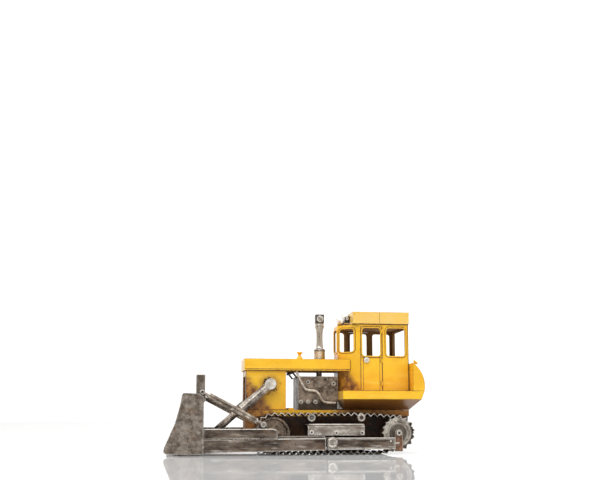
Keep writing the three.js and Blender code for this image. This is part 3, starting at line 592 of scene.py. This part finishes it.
def finish_cad_nodes():
    for material, stems in NODE_MATERIALS.items():
        for name, node in NODES.items():
            if any(name == stem or name.startswith(stem + "_") for stem in stems):
                node.data.materials.clear()
                node.data.materials.append(MATERIALS[material])
                soften(node, BEVELS.get(material, 0.0004))


# ---- mesh helpers


def new_object(name, data):
    made = bpy.data.objects.new(name, data)
    bpy.context.scene.collection.objects.link(made)
    return made


def mesh_object(name, bm, material):
    mesh = bpy.data.meshes.new(name)
    bm.to_mesh(mesh)
    bm.free()
    mesh.materials.append(material)
    return new_object(name, mesh)


def piece_from(name, bm, material, body="chassis", slot="bright_steel", replaces=(), bevel=0.0):
    """Makes a visible piece that rides on a body, and that may take the place of CAD nodes."""
    bmesh.ops.recalc_face_normals(bm, faces=bm.faces)
    piece = mesh_object(name, bm, MATERIALS[material])
    soften(piece, bevel)
    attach(piece, body)
    if replaces:
        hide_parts(*replaces)
    return piece


def upright(x, y, z):
    return Matrix.Translation(Vector((x, y, z)) * MM)


def across(place, y, sign):
    """Turns a piece made along +Z to point outwards from the toy, at an (x, z) and a distance y."""
    return upright(place[0], sign * y, place[1]) @ Matrix.Rotation(-sign * math.pi / 2, 4, "X")


def circle(bm, place, radius, height, count, offset=0.0):
    """Adds a ring of vertices round a place. Its size is in mm, and offset is a part of one step."""
    angles = (2 * math.pi * (i + offset) / count for i in range(count))
    return [bm.verts.new(place @ (Vector((radius * math.cos(a), radius * math.sin(a), height)) * MM))
            for a in angles]


def join(bm, first, second):
    """Adds the faces between two closed loops of vertices."""
    for k in range(len(first)):
        m = (k + 1) % len(first)
        bm.faces.new([first[k], first[m], second[m], second[k]])


def cap_ends(bm, loops):
    bm.faces.new(loops[0])
    bm.faces.new(loops[-1])


def turned(bm, profile, place, segments=48):
    """Adds a turned solid. profile is a list of (radius, height) in mm, from axis to axis."""
    rings = [circle(bm, place, radius, height, segments if radius else 1) for radius, height in profile]
    for low, high in zip(rings, rings[1:]):
        for i in range(segments):
            j = (i + 1) % segments
            corners = [low[i % len(low)], low[j % len(low)], high[j % len(high)], high[i % len(high)]]
            unique = list(dict.fromkeys(corners))
            if len(unique) > 2:
                bm.faces.new(unique)
    return bm


def turned_piece(name, profile, place, material, segments=48, **settings):
    return piece_from(name, turned(bmesh.new(), profile, place, segments), material, **settings)


def nut(bm, place, radius, height, hole, sides=6):
    """Adds a chamfered nut with a hole to the bottom of its thread."""
    profile = [(radius * 0.93, 0), (radius, 0.3), (radius, height - 0.5), (radius * 0.86, height),
               (hole * 1.15, height), (hole, height - 0.4), (hole, 0.3)]
    rings = [circle(bm, place, r, h, sides, offset=0.5) for r, h in profile]
    for low, high in zip(rings, rings[1:]):
        join(bm, low, high)
    cap_ends(bm, rings)
    return bm


def block(bm, place, size):
    """Adds a box of a size in mm round a place."""
    made = bmesh.ops.create_cube(bm, size=1.0)["verts"]
    shape = Matrix.Diagonal((*(Vector(size) * MM), 1))
    bmesh.ops.transform(bm, matrix=place @ shape, verts=made)


def plate(outline, near, far):
    """A flat plate between two y, with an outline of (x, z) in mm."""
    bm = bmesh.new()
    loops = [[bm.verts.new((x * MM, y * MM, z * MM)) for x, z in outline] for y in (near, far)]
    join(bm, *loops)
    cap_ends(bm, loops)
    return bm


def tube(bm, points, radius, closed=False, sides=8, wobble=None):
    """Adds a round bead along points (mm). wobble is a random source for a hand laid weld."""
    count = len(points)
    places = [Vector(p) for p in points]
    rings = []
    for i, point in enumerate(places):
        before = places[i - 1] if closed or i > 0 else point
        after = places[(i + 1) % count] if closed or i < count - 1 else point
        along = (after - before).normalized()
        side = along.cross(Vector((0, 1, 0)))
        if side.length < 0.2:
            side = along.cross(Vector((1, 0, 0)))
        side.normalize()
        up = side.cross(along)
        size = radius * (wobble.uniform(0.72, 1.3) if wobble else 1.0)
        rings.append([
            bm.verts.new((point + (side * math.cos(a) + up * math.sin(a)) * size) * MM)
            for a in (2 * math.pi * k / sides for k in range(sides))
        ])
    for first, second in zip(rings, rings[1:] + (rings[:1] if closed else [])):
        join(bm, first, second)
    if not closed:
        cap_ends(bm, rings)
    return bm


def rounded_rectangle(u0, u1, v0, v1, radius, steps=5):
    points = []
    corners = ((u1 - radius, v1 - radius, 0), (u0 + radius, v1 - radius, 90),
               (u0 + radius, v0 + radius, 180), (u1 - radius, v0 + radius, 270))
    for u, v, start in corners:
        for k in range(steps + 1):
            angle = math.radians(start + 90 * k / steps)
            points.append((u + radius * math.cos(angle), v + radius * math.sin(angle)))
    return points


def smooth_path(bends, steps=4):
    """A smooth curve through all the bends, as a list of places."""
    def between(a, b, c, d, t):
        return 0.5 * (2 * b + (c - a) * t + (2 * a - 5 * b + 4 * c - d) * t * t
                      + (3 * b - a - 3 * c + d) * t ** 3)

    path = [bends[0]]
    for four in zip(bends, bends[1:], bends[2:], bends[3:]):
        for k in range(steps):
            path.append(tuple(between(*values, k / steps) for values in zip(*four)))
    return path + bends[-2:]


def weld(name, points, radius, body, seed, material):
    """A hand laid weld seam through points, with close uneven ripples."""
    ripple = 0.9
    source = random.Random(seed)
    path = []
    for first, second in zip(points, points[1:]):
        first, second = Vector(first), Vector(second)
        steps = max(2, int((second - first).length / ripple))
        path += [first.lerp(second, k / steps) for k in range(steps)]
    path.append(Vector(points[-1]))
    path = [p + Vector([source.uniform(-0.2, 0.2) for _ in range(3)]) for p in path]
    piece_from(name, tube(bmesh.new(), path, radius, sides=8, wobble=source), material, body)


# ---- cab and hood details

BEAD = 1.0
SEAM = 0.42


def on_side(sign, x, stand=0.0):
    """The y of the cab's side wall at x, standing out by a distance."""
    lean = (CAB_SIDE - NOSE) / (CAB_FOLD - CAB_FRONT)
    flat = min(CAB_SIDE, NOSE + lean * (x - CAB_FRONT))
    return sign * (flat + stand)


def window_outline(u0, u1, sill, grow):
    """The outline of a window, let out by grow all round."""
    return rounded_rectangle(u0 - grow, u1 + grow, sill - grow, HEAD + grow, WINDOW_RADIUS + grow)


def ring(name, points, radius, material, body="chassis"):
    bm = tube(bmesh.new(), points, radius, closed=True, sides=10)
    piece_from(name, bm, material, body, "yellow_paint")


def side_windows(side, sign):
    """A rolled bead round each side window, with a rusty line where it meets the sheet."""
    windows = [("rear", REAR_SIDE_WINDOW, SILL, "chassis"),
               ("front", FRONT_SIDE_WINDOW, FRONT_SILL, "chassis"),
               ("door", DOOR_WINDOW, SILL, "door")]
    rings = [("bead", "paint_bead", BEAD, BEAD, 0.4), ("line", "seam", 2.3, SEAM, 0.1)]
    for name, (x0, x1), sill, owner in windows:
        body = f"door_{side}" if owner == "door" else owner
        for kind, material, grow, radius, stand in rings:
            outline = window_outline(x0, x1, sill, grow)
            points = [(x, on_side(sign, x, stand), z) for x, z in outline]
            ring(f"{name}_window_{kind}_{side}", points, radius, material, body)


def end_windows():
    """Rolled beads round the windshield and the rear window."""
    for name, half_width, sill, x in (("windshield", 13, FRONT_SILL, CAB_FRONT - 0.2),
                                      ("rear_window", 34, SILL, CAB_REAR - 0.6)):
        outline = window_outline(-half_width, half_width, sill, BEAD)
        ring(f"{name}_bead", [(x, y, z) for y, z in outline], BEAD, "paint_bead")


def seam(name, points, radius=SEAM, body="chassis"):
    bm = tube(bmesh.new(), points, radius, sides=8)
    piece_from(name, bm, "seam", body, "yellow_paint")


def level_seam(name, x0, x1, y, z, radius=SEAM, body="chassis"):
    seam(name, [(x0, y, z), (x1, y, z)], radius, body)


def upright_seam(name, x, y, z0, z1, radius=SEAM):
    seam(name, [(x, y, z0), (x, y, z1)], radius)


def cab_seams(side, sign):
    """Rusty joints: round the door and its panel, down the corners, and under the roof lid, where the dark
    line is also the roof's painted shadow.
    """
    wall = sign * CAB_SIDE
    door = f"door_{side}"
    for x in (102.4, 137.1):
        upright_seam(f"door_gap_{int(x)}_{side}", x, wall, 97, 197, 0.5)
    panel = [(106.4, wall, 97.4), (106.4, wall, 147.6), (132.6, wall, 147.6), (132.6, wall, 97.4)]
    seam(f"door_panel_{side}", panel, 0.35, door)
    level_seam(f"door_sill_{side}", 103.4, 135.6, wall, 148.4, 0.35, door)
    upright_seam(f"cab_corner_{side}", 178.6, wall, 96.8, 200.2)
    # painted shadow under the roof lid, as well as a rusty joint
    level_seam(f"roof_joint_{side}", 101.5, 179.0, wall, 200.7, 0.7)
    upright_seam(f"roof_seam_{side}", 132.5, sign * ROOF_SIDE, 202.4, 219, 0.28)
    level_seam(f"cab_foot_{side}", 101.5, 179.0, wall, 96.2, 0.5)


def hood_seams(side, sign):
    """Rusty joints: along the lip of the hood lid, down its rear end, where the line is also painted shadow,
    and round the radiator housing.
    """
    hood = sign * HOOD_SIDE
    radiator = sign * RADIATOR_SIDE
    level_seam(f"hood_fold_{side}", -77.6, 88.0, hood, 130.2, 0.3)
    # painted shadow down the hood's rear end, as well as a rusty joint
    upright_seam(f"hood_end_{side}", 88.5, hood, 129, 145, 0.35)
    level_seam(f"hood_joint_{side}", RADIATOR_FRONT, RADIATOR_REAR, radiator, 127.6, 0.5)
    level_seam(f"radiator_foot_{side}", RADIATOR_FRONT, RADIATOR_REAR, radiator, DECK_TOP, 0.4)
    upright_seam(f"radiator_corner_{side}", RADIATOR_FRONT - 0.3, radiator - sign * 0.1, 68, 127, 0.45)


def seams(side, sign):
    cab_seams(side, sign)
    hood_seams(side, sign)


def door_knob(side, sign):
    """A round pull knob with a screw in the middle."""
    profile = [(0, -0.2), (2.2, -0.2), (2.2, 0.7), (3.6, 0.8), (4.3, 1.2), (4.5, 1.9), (4.2, 2.7),
               (3.3, 3.3), (1.9, 3.4), (1.7, 2.5), (1.2, 2.5), (1.0, 3.0), (0, 3.1)]
    node = f"door_knob_{side}"
    knob = middle(node)
    place = across((knob.x, knob.z), on_side(1, knob.x, 0.35), sign)
    turned_piece(f"door_pull_{side}", profile, place, "pale", body=f"door_{side}", replaces=[node])


def headlamp(side, sign):
    """A chromed drum lamp on a black strap, which a screw holds on its outer side."""
    drum = [(0, 0), (3.2, 0), (5.2, 0.8), (6.5, 2.6), (6.9, 5.5), (6.9, 8.4), (7.2, 8.8), (7.2, 10.8),
            (6.5, 11), (6.2, 10.2), (0, 10.2)]
    glass = [(0, 9.9), (6.1, 9.9), (5.4, 10.4), (3.6, 10.8), (0, 10.95)]
    drum_radius = 7.2
    forward = Matrix.Rotation(-math.pi / 2, 4, "Y")
    node = f"headlamp_{side}"
    low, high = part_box(node)
    y = middle(node).y
    z = high.z / MM - drum_radius
    back = high.x / MM
    strap_x = back - 4.2
    place = upright(back, y, z) @ forward
    turned_piece(f"lamp_drum_{side}", drum, place, "chrome", replaces=[node])
    turned_piece(f"lamp_lens_{side}", glass, place, "lens")
    bm = bmesh.new()
    block(bm, upright(strap_x, y + sign * 6.9, z - 3), (7, 1.4, 10))
    block(bm, upright(strap_x, y + sign * 3.6, low.z / MM + 0.75), (7, 8, 1.4))
    piece_from(f"lamp_strap_{side}", bm, "black", slot="black_iron", bevel=0.0005)
    bm = nut(bmesh.new(), across((strap_x, z - 1), sign * y + 7.4, sign), 2.7, 1.6, 1.2)
    piece_from(f"lamp_screw_{side}", bm, "pale")


# ---- turned parts


def thread_profile(radius, length, pitch, depth):
    """The profile of a coarse thread, from its foot up."""
    root = radius - depth
    points = [(0, 0), (root, 0)]
    for k in range(int(length / pitch)):
        points += [(radius, (k + 0.35) * pitch), (radius, (k + 0.6) * pitch), (root, (k + 0.97) * pitch)]
    return points


def exhaust():
    """A threaded collar, and a turned pipe that widens to a thick ring near its foot and its top."""
    low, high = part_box("exhaust_collar")
    height = (high.z - low.z) / MM
    profile = thread_profile(9.15, height - 4.5, 1.9, 0.55)
    profile += [(9.15, height - 4.2), (9.15, height - 1.4), (8.3, height - 0.3), (6.4, height), (0, height)]
    turned_piece("exhaust_threaded_collar", profile, upright(EXHAUST_X, 0, low.z / MM), "rod", 56,
                 replaces=["exhaust_collar"])

    low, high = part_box("exhaust_tube")
    length = (high.z - low.z) / MM
    profile = [(0, -0.3), (6.6, -0.3), (6.7, 1.2), (5.9, 2.0), (5.6, 5), (5.15, 12), (5.05, 18),
               (5.25, 26), (5.9, 31), (7.1, 34.2), (7.3, 35.4), (7.3, 38), (6.9, 38.6), (6.9, 39.2),
               (7.3, 39.8), (7.3, length - 0.4), (6.8, length), (0, length)]
    turned_piece("exhaust_pipe", profile, upright(EXHAUST_X, 0, low.z / MM), "silver",
                 replaces=["exhaust_tube"])


def exhaust_screw():
    """The round slotted screw on the left face of the exhaust's head."""
    low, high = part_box("exhaust_screw")
    centre = middle("exhaust_screw")
    radius = (high.z - low.z) / 2 / MM
    head = [(0, -1.2), (radius, -1.2), (radius, -0.6), (radius * 0.92, -0.15), (radius * 0.55, 0), (0, 0)]
    place = across((centre.x, centre.z), -low.y / MM, SIDES["left"])
    turned_piece("exhaust_screw_head", head, place, "pale", 40, replaces=["exhaust_screw"])
    bm = bmesh.new()
    block(bm, place @ Matrix.Rotation(math.radians(-45), 4, "Z"), (radius * 1.7, 1.1, 0.5))
    # the slot is a near black block, as painted shade
    piece_from("exhaust_screw_slot", bm, "hole", slot="black_iron")


def caps():
    """The spool shaped filler cap on the hood, and the smaller one that leans on the tank."""
    low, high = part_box("filler_cap")
    centre = (low + high) / 2 / MM
    spool = [(0, 0), (4.9, 0), (5.1, 0.5), (5.0, 2.4), (4.6, 4.0), (3.4, 5.6), (2.5, 6.9), (2.3, 8.4),
             (2.9, 9.9), (4.2, 11.0), (4.8, 11.5), (4.9, 12.4), (4.6, 13.1), (3.6, 13.4), (0, 13.4)]
    turned_piece("radiator_filler", spool, upright(centre.x, centre.y, low.z / MM), "paint_bead", 40,
                 slot="yellow_paint", replaces=["filler_cap"])

    tank_axis = Vector((155.1, -58, 103.8))
    tank_radius = 43.2
    angle_from_level = 48.5
    lean = math.radians(90 - angle_from_level)
    along = Vector((math.sin(lean), 0, math.cos(lean)))
    place = upright(*(tank_axis + along * tank_radius)) @ Matrix.Rotation(lean, 4, "Y")
    cap = [(0, 0), (2.6, 0), (2.3, 0.8), (1.9, 1.8), (1.9, 4), (2.6, 4.9), (4.0, 5.5), (4.35, 6.2),
           (4.2, 7), (3.2, 7.6), (0, 7.8)]
    turned_piece("tank_filler", cap, place, "paint_bead", 36, slot="yellow_paint", replaces=["tank_cap"])


def idler(side, sign):
    """Pressed wheel with a raised rim and two rolled rings."""
    inner_side = 48
    profile = [(4.1, 17.5), (7.2, 17.5), (7.8, 16.9), (8, 14.6), (9.2, 13.9), (13.2, 13.9), (14, 14.7),
               (15.2, 14.7), (16, 13.9), (19.6, 13.9), (20.5, 14.8), (21.1, 17.2), (21.9, 17.9),
               (24.5, 17.9), (25.1, 17.3), (25.1, 0.7), (24.6, 0.1), (21.8, 0.1), (20.8, 5), (8, 5),
               (7.6, 0.2), (4.1, 0.2), (4.1, 17.5)]
    node = f"idler_{side}"
    place = across(IDLER, inner_side, sign)
    turned_piece(f"idler_wheel_{side}", profile, place, "wheel", 64, body=node, slot="dark_steel",
                 replaces=[node])


def toothed_ring(place):
    """The pale ring of the sprocket: round gaps between its teeth, and steps in its face."""
    teeth, tip, depth, per_tooth = 18, 25.3, 3.0, 8
    count = teeth * per_tooth
    rims = [(0.4, 0.0), (0.0, 0.4), (0.0, 2.0), (0.5, 2.5)]
    steps = [(20.4, 2.5), (19.9, 1.9), (19.3, 1.9), (18.8, 2.5), (14.4, 2.5), (13.9, 1.6), (13.2, 1.6),
             (13.2, 0)]
    scallop = [tip - depth * math.sin(math.pi * (i % per_tooth) / per_tooth) ** 0.8 for i in range(count)]
    bm = bmesh.new()

    def lay(radii, height):
        turns = (Matrix.Rotation(2 * math.pi * i / count, 4, "Z") for i in range(count))
        return [bm.verts.new(place @ turn @ (Vector((r, 0, height)) * MM)) for turn, r in zip(turns, radii)]

    rings = [lay([radius - cut for radius in scallop], height) for cut, height in rims]
    rings += [lay([radius] * count, height) for radius, height in steps]
    for low, high in zip(rings, rings[1:] + rings[:1]):
        join(bm, low, high)
    return bm


def sprocket(side, sign):
    """Scalloped drive wheel outside the belt: toothed ring, dark stepped hub, and a drum behind."""
    hub = [(4.0, -0.4), (13.1, -0.4), (13.1, 2.6), (12.4, 3.3), (10.6, 3.3), (10.2, 2.6), (8.4, 2.6),
           (8.0, 3.4), (6.4, 3.6), (4.0, 3.6), (4.0, -0.4)]
    drum = [(4.0, -26.0), (20.6, -26.0), (21.4, -25.2), (21.4, -0.3), (4.0, -0.3), (4.0, -26.0)]
    bore = [(0, -0.2), (1.7, -0.2), (1.7, 0.12), (0, 0.12)]
    axle_end = max(abs(corner.y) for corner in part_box("sprocket_axle")) / MM
    body = f"sprocket_{side}"
    place = across(SPROCKET, BELT_SIDE + 0.35, sign)
    piece_from(f"sprocket_ring_{side}", toothed_ring(place), "sprocket", body, replaces=[body])
    turned_piece(f"sprocket_hub_{side}", hub, place, "oily", 40, body=body, slot="dark_steel")
    end = across(SPROCKET, axle_end, sign)
    # a near black disc on the axle's end, as the painted shade of its bore
    turned_piece(f"axle_bore_{side}", bore, end, "hole", 24, slot="black_iron")
    turned_piece(f"sprocket_drum_{side}", drum, place, "wheel", body=body, slot="dark_steel")


def barrel_eye(side, sign):
    """A filed bright face on the eye of a lift cylinder."""
    face = [(0, -0.2), (8.4, -0.2), (8.6, 0.1), (8.3, 0.5), (6.6, 0.6), (6.2, 0.3), (4.6, 0.3), (4.2, 0.6),
            (0, 0.7)]
    node = f"lift_barrel_{side}"
    outer = max(abs(corner.y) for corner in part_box(node)) / MM
    place = across(TRUNNION, outer, sign)
    turned_piece(f"barrel_eye_{side}", face, place, "pale", body=node)


def pivot_boss(side, sign):
    """A filed dome on a short stud, at one end of the blade's pivot line."""
    dome = [(0, 0.1), (3.8, 0.1), (3.8, 9.6), (7.4, 9.6), (8.0, 10.2), (8.0, 11.4), (7.2, 12.4),
            (5.6, 13.0), (4.6, 12.6), (3.0, 12.3), (1.4, 12.7), (0, 12.8)]
    place = across(PIVOT, PIVOT_FOOT, sign)
    turned_piece(f"pivot_stud_{side}", dome, place, "barrel", replaces=[f"pivot_boss_{side}"])


# ---- nuts, rivets and welds


def turned_row(name, profile, places, y, sign, material, segments, **settings):
    """Several turned parts in one piece, all on the same face."""
    bm = bmesh.new()
    for place in places:
        turned(bm, profile, across(place, y, sign), segments)
    piece_from(name, bm, material, **settings)


def nut_row(name, side, places, y, height, hole, material, body="chassis"):
    """Nuts on one face, with a near black disc in each bore as painted shade."""
    sign = SIDES[side]
    radius = 3.7
    bm = bmesh.new()
    for place in places:
        nut(bm, across(place, y, sign), radius, height, hole)
    piece_from(f"{name}_{side}", bm, material, body, bevel=0.0001)
    # painted shade: a near black disc at the bottom of each bore
    bottom = [(0, 0.1), (hole * 1.04, 0.1), (hole * 1.04, height - 0.75), (0, height - 1.0)]
    turned_row(f"{name}_holes_{side}", bottom, places, y, sign, "hole", 24, body=body, slot="black_iron")


def fasteners(side, sign):
    bolt = [(0, -0.2), (3.6, -0.2), (3.7, 0.5), (3.3, 1.2), (2.2, 1.4), (1.9, 1.9), (0.8, 2.2), (0, 2.2)]
    bolt_places = [(x, 79.4) for x in (10.6, 22.1, 33.6)]
    rivet = [(0, -0.3), (1.5, -0.3), (1.4, 0.4), (0.8, 0.85), (0, 0.95)]
    nut_row("guard_nuts", side, [(20.3, 33.2), (58, 32.1), (97.6, 32.1)], GUARD_FACE, 2.15, 1.95, "pale")
    nut_row("engine_nuts", side, [(21.7, 110.1), (62.4, 107.9)], ENGINE_FACE, 2.15, 1.95, "worn")
    nut_row("brace_nuts", side, BRACE_PINS, BRACE_FACE, 1.9, 2.1, "worn", "blade")
    turned_row(f"engine_bolts_{side}", bolt, bolt_places, ENGINE_FACE, sign, "worn", 20)
    turned_row(f"beam_rivets_{side}", rivet, [(139.8, 20.2)], BEAM_FACE - 1, sign, "bright", 16)
    turned_row(f"roof_rivets_{side}", rivet, [(92.5, 216.6), (177.4, 215.6)], ROOF_SIDE, sign,
               "paint_bead", 16, slot="yellow_paint")


def screw_faces(side, sign):
    """The front carrier stub ends in a round screw head, and the rear one in an open tube."""
    screw = [(0, -0.1), (5.75, -0.1), (5.9, 1.9), (5.3, 2.6), (3.9, 2.7), (3.6, 2.2), (1.6, 2.2), (1.4, 2.6),
             (0, 2.65)]
    tube_end = [(3.2, 1.0), (3.2, 2.6), (5.4, 2.7), (5.85, 2.3), (5.85, -0.1), (0, -0.1), (0, 1.0),
                (3.2, 1.0)]
    recess = [(0, 1.9), (3.3, 1.9), (3.3, 2.45), (0, 2.45)]
    for name, profile in (("front", screw), ("rear", tube_end)):
        end = f"{name}_{side}"
        place = across(CARRIERS[name], CARRIER_END, sign)
        turned_piece(f"carrier_face_{end}", profile, place, "worn", 40, body=f"carrier_{end}")
        # painted shade: a near black disc in the face's recess
        turned_piece(f"carrier_recess_{end}", recess, place, "hole", 32, body=f"carrier_{end}",
                     slot="black_iron")


def oil_pipe():
    """The bent copper coloured pipe on the left of the engine."""
    y = -33.4
    bends = [(3.2, 126.0), (7.4, 116.5), (11.9, 107.2), (15.2, 101.4), (18.8, 98.2), (25, 97.0),
             (31.5, 96.5), (35.8, 94.2), (39.5, 89.3), (42.2, 84.0), (45.8, 80.0), (51, 78.3), (58, 77.8),
             (64.6, 77.6)]
    path = [(x, y, z) for x, z in smooth_path(bends)]
    piece_from("oil_pipe_bent", tube(bmesh.new(), path, 2.05, sides=16), "copper", replaces=["oil_pipe"])


def hanger(side, sign):
    """The rusty hanger in front of a sprocket, and the short bright rod that reaches it."""
    x, z = SPROCKET
    half, foot, top = 5.8, 4.8, z - 6
    arc = [(x + half * math.cos(a), top + half * math.sin(a)) for a in (math.pi * k / 10 for k in range(11))]
    outline = [(x - half, foot), (x + half, foot)] + arc
    bm = plate(outline, sign * 80.4, sign * 81.4)
    piece_from(f"hanger_{side}", bm, "strap", slot="dark_steel", bevel=0.0004)
    bm = tube(bmesh.new(), [(145.5, sign * 81.6, 17), (x, sign * 81.6, 17)], 1.5, sides=16)
    piece_from(f"hanger_rod_{side}", bm, "bright", bevel=0.0002)


def engine_lug(side, sign):
    """A bright folded lug between the engine and the fender."""
    outline = [(66.0, 68), (76.5, 68), (74.5, 70.5), (70.5, 74), (69.6, 79), (66.6, 79)]
    bm = plate(outline, sign * 33.0, sign * 38.5)
    piece_from(f"engine_lug_{side}", bm, "bright", bevel=0.0008)


def welds(side, sign):
    """Hand laid seams: name, body, material, radius, random seed, y, and the (x, z) that they join."""
    lines = [("arm_weld", "blade", "pale", 1.1, 3, ARM_FACE, [(-142.6, 4), (-142.8, 39)]),
             ("plate_weld", "blade", "blade", 0.7, 5, PLATE_FACE, [(-141.6, 4), (-141.6, 83)]),
             ("arm_seam", "blade", "black", 0.6, 7, ARM_FACE - 0.3, [(-139, 23.5), (-34, 24.3)]),
             ("boss_weld", "chassis", "arm", 0.8, 11, 87.0, [(43.3, 8), (43.3, 24)])]
    for name, body, material, radius, seed, y, places in lines:
        points = [(x, sign * y, z) for x, z in places]
        weld(f"{name}_{side}", points, radius, body, seed, material)


def worn_and_highlight_edges(side, sign):
    """Rounded edges in pale steel along the arms, the beam and the roller guard: partly worn bright by
    handling, partly painted highlight.
    """
    runs = {
        "guard_edge": ("chassis", 1.1, GUARD_FACE - 0.8, [(16.4, 44.8), (100.0, 44.8)]),
        "arm_edge": ("blade", 0.5, ARM_FACE - 0.3, [(-31.5, 23.7), (39.4, 24.2)]),
        "upper_arm_edge": ("blade", 0.6, ARM_FACE - 0.35, [(-139.5, 38.2), (-39.5, 38.2), (-35.3, 36.6)]),
        "beam_edge": ("chassis", 0.6, BEAM_FACE, [(45.4, 24.8), (145.2, 24.8), (145.2, 8.6), (45.4, 8.6)]),
    }
    for name, (body, radius, face, places) in runs.items():
        points = [(x, sign * face, z) for x, z in places]
        # pale beads that are partly painted highlight along the top edges
        piece_from(f"{name}_{side}", tube(bmesh.new(), points, radius, sides=16), "pale", body)


def rod_drips(side, sign):
    """Lumps of weld where the lift rod was repaired."""
    count, first, gap = 9, 88, 2.1
    rod_y = 44
    direction = -Vector(joint("lift_rod_left_slide")["axis"])
    start = Vector((TRUNNION[0], 0, TRUNNION[1]))
    source = random.Random(17)
    bm = bmesh.new()
    for k in range(count):
        along = start + direction * (first + gap * k)
        x = source.uniform(-1, 1)
        y = sign * rod_y + source.uniform(-2.4, 2.4)
        z = -2.6 - source.uniform(0, 1.3)
        radius = source.uniform(0.9, 1.7) * MM
        made = bmesh.ops.create_icosphere(bm, subdivisions=2, radius=radius)["verts"]
        shape = Matrix.Diagonal((1.5, 0.9, source.uniform(0.7, 1.3), 1))
        move = upright(*(along + Vector((x, y, z))))
        bmesh.ops.transform(bm, matrix=move @ shape, verts=made)
    piece_from(f"rod_welds_{side}", bm, "rod", f"lift_rod_{side}", "dark_steel")


# ---- stage

CAMERA_PLACE = Vector((-0.165758, -1.274322, 0.059))
CAMERA_TURN = math.radians(8.0)
CAMERA_PITCH = math.radians(7.76)


def camera():
    data = bpy.data.cameras.new("camera")
    data.lens = 48.0
    data.sensor_width = 36.0
    data.shift_y = 0.11
    made = new_object("camera", data)
    made.location = CAMERA_PLACE
    made.rotation_euler = (math.pi / 2 + CAMERA_PITCH, 0.0, -CAMERA_TURN)
    bpy.context.scene.camera = made


def softbox(name, place, size, power, aim=(0.0, 0.0, 0.09)):
    data = bpy.data.lights.new(name, "AREA")
    data.shape = "RECTANGLE"
    data.size, data.size_y = size
    data.energy = power
    made = new_object(name, data)
    made.location = place
    made.rotation_euler = (Vector(aim) - Vector(place)).to_track_quat("-Z", "Y").to_euler()


def world():
    """White to the camera. For the rest a soft sweep of light, brightest overhead and behind the toy."""
    made = bpy.data.worlds.new("studio")
    made.use_nodes = True
    n = Nodes(made.node_tree)
    split = n.fill(n.add("ShaderNodeSeparateXYZ"), n.add("ShaderNodeTexCoord").outputs["Generated"])
    x, y, z = split.outputs
    up = n.math("MULTIPLY_ADD", x, 0.3, n.math("MULTIPLY_ADD", y, 0.45, z))
    sweep = n.map_range(up, (-0.6, 0.75), (0.16, 1.25), "SMOOTHSTEP")
    background = n.tree.nodes["Background"]
    n.put(background.inputs["Color"], (1.0, 1.0, 1.0))
    seen = n.add("ShaderNodeLightPath").outputs["Is Camera Ray"]
    n.put(background.inputs["Strength"], n.most(sweep, seen))
    bpy.context.scene.world = made


def studio():
    bm = bmesh.new()
    bmesh.ops.create_grid(bm, x_segments=8, y_segments=8, size=6.0)
    mesh_object("floor", bm, studio_floor())
    softbox("key", (-0.7, -1.3, 1.2), (1.1, 0.7), 10.2)
    softbox("overhead", (0.1, 0.0, 1.4), (1.6, 1.0), 6.0)
    world()
    bpy.context.scene.view_settings.view_transform = "Standard"


def on_both_sides(*builders):
    """Runs each builder for the left side and then for the right."""
    for build in builders:
        for side, sign in SIDES.items():
            build(side, sign)


camera()
studio()
finish_cad_nodes()
on_both_sides(side_windows)
end_windows()
on_both_sides(seams, door_knob, headlamp)
exhaust()
exhaust_screw()
caps()
on_both_sides(idler, sprocket, barrel_eye, pivot_boss, fasteners, screw_faces)
oil_pipe()
on_both_sides(hanger, engine_lug, welds, worn_and_highlight_edges, rod_drips)

bpy.context.view_layer.update()
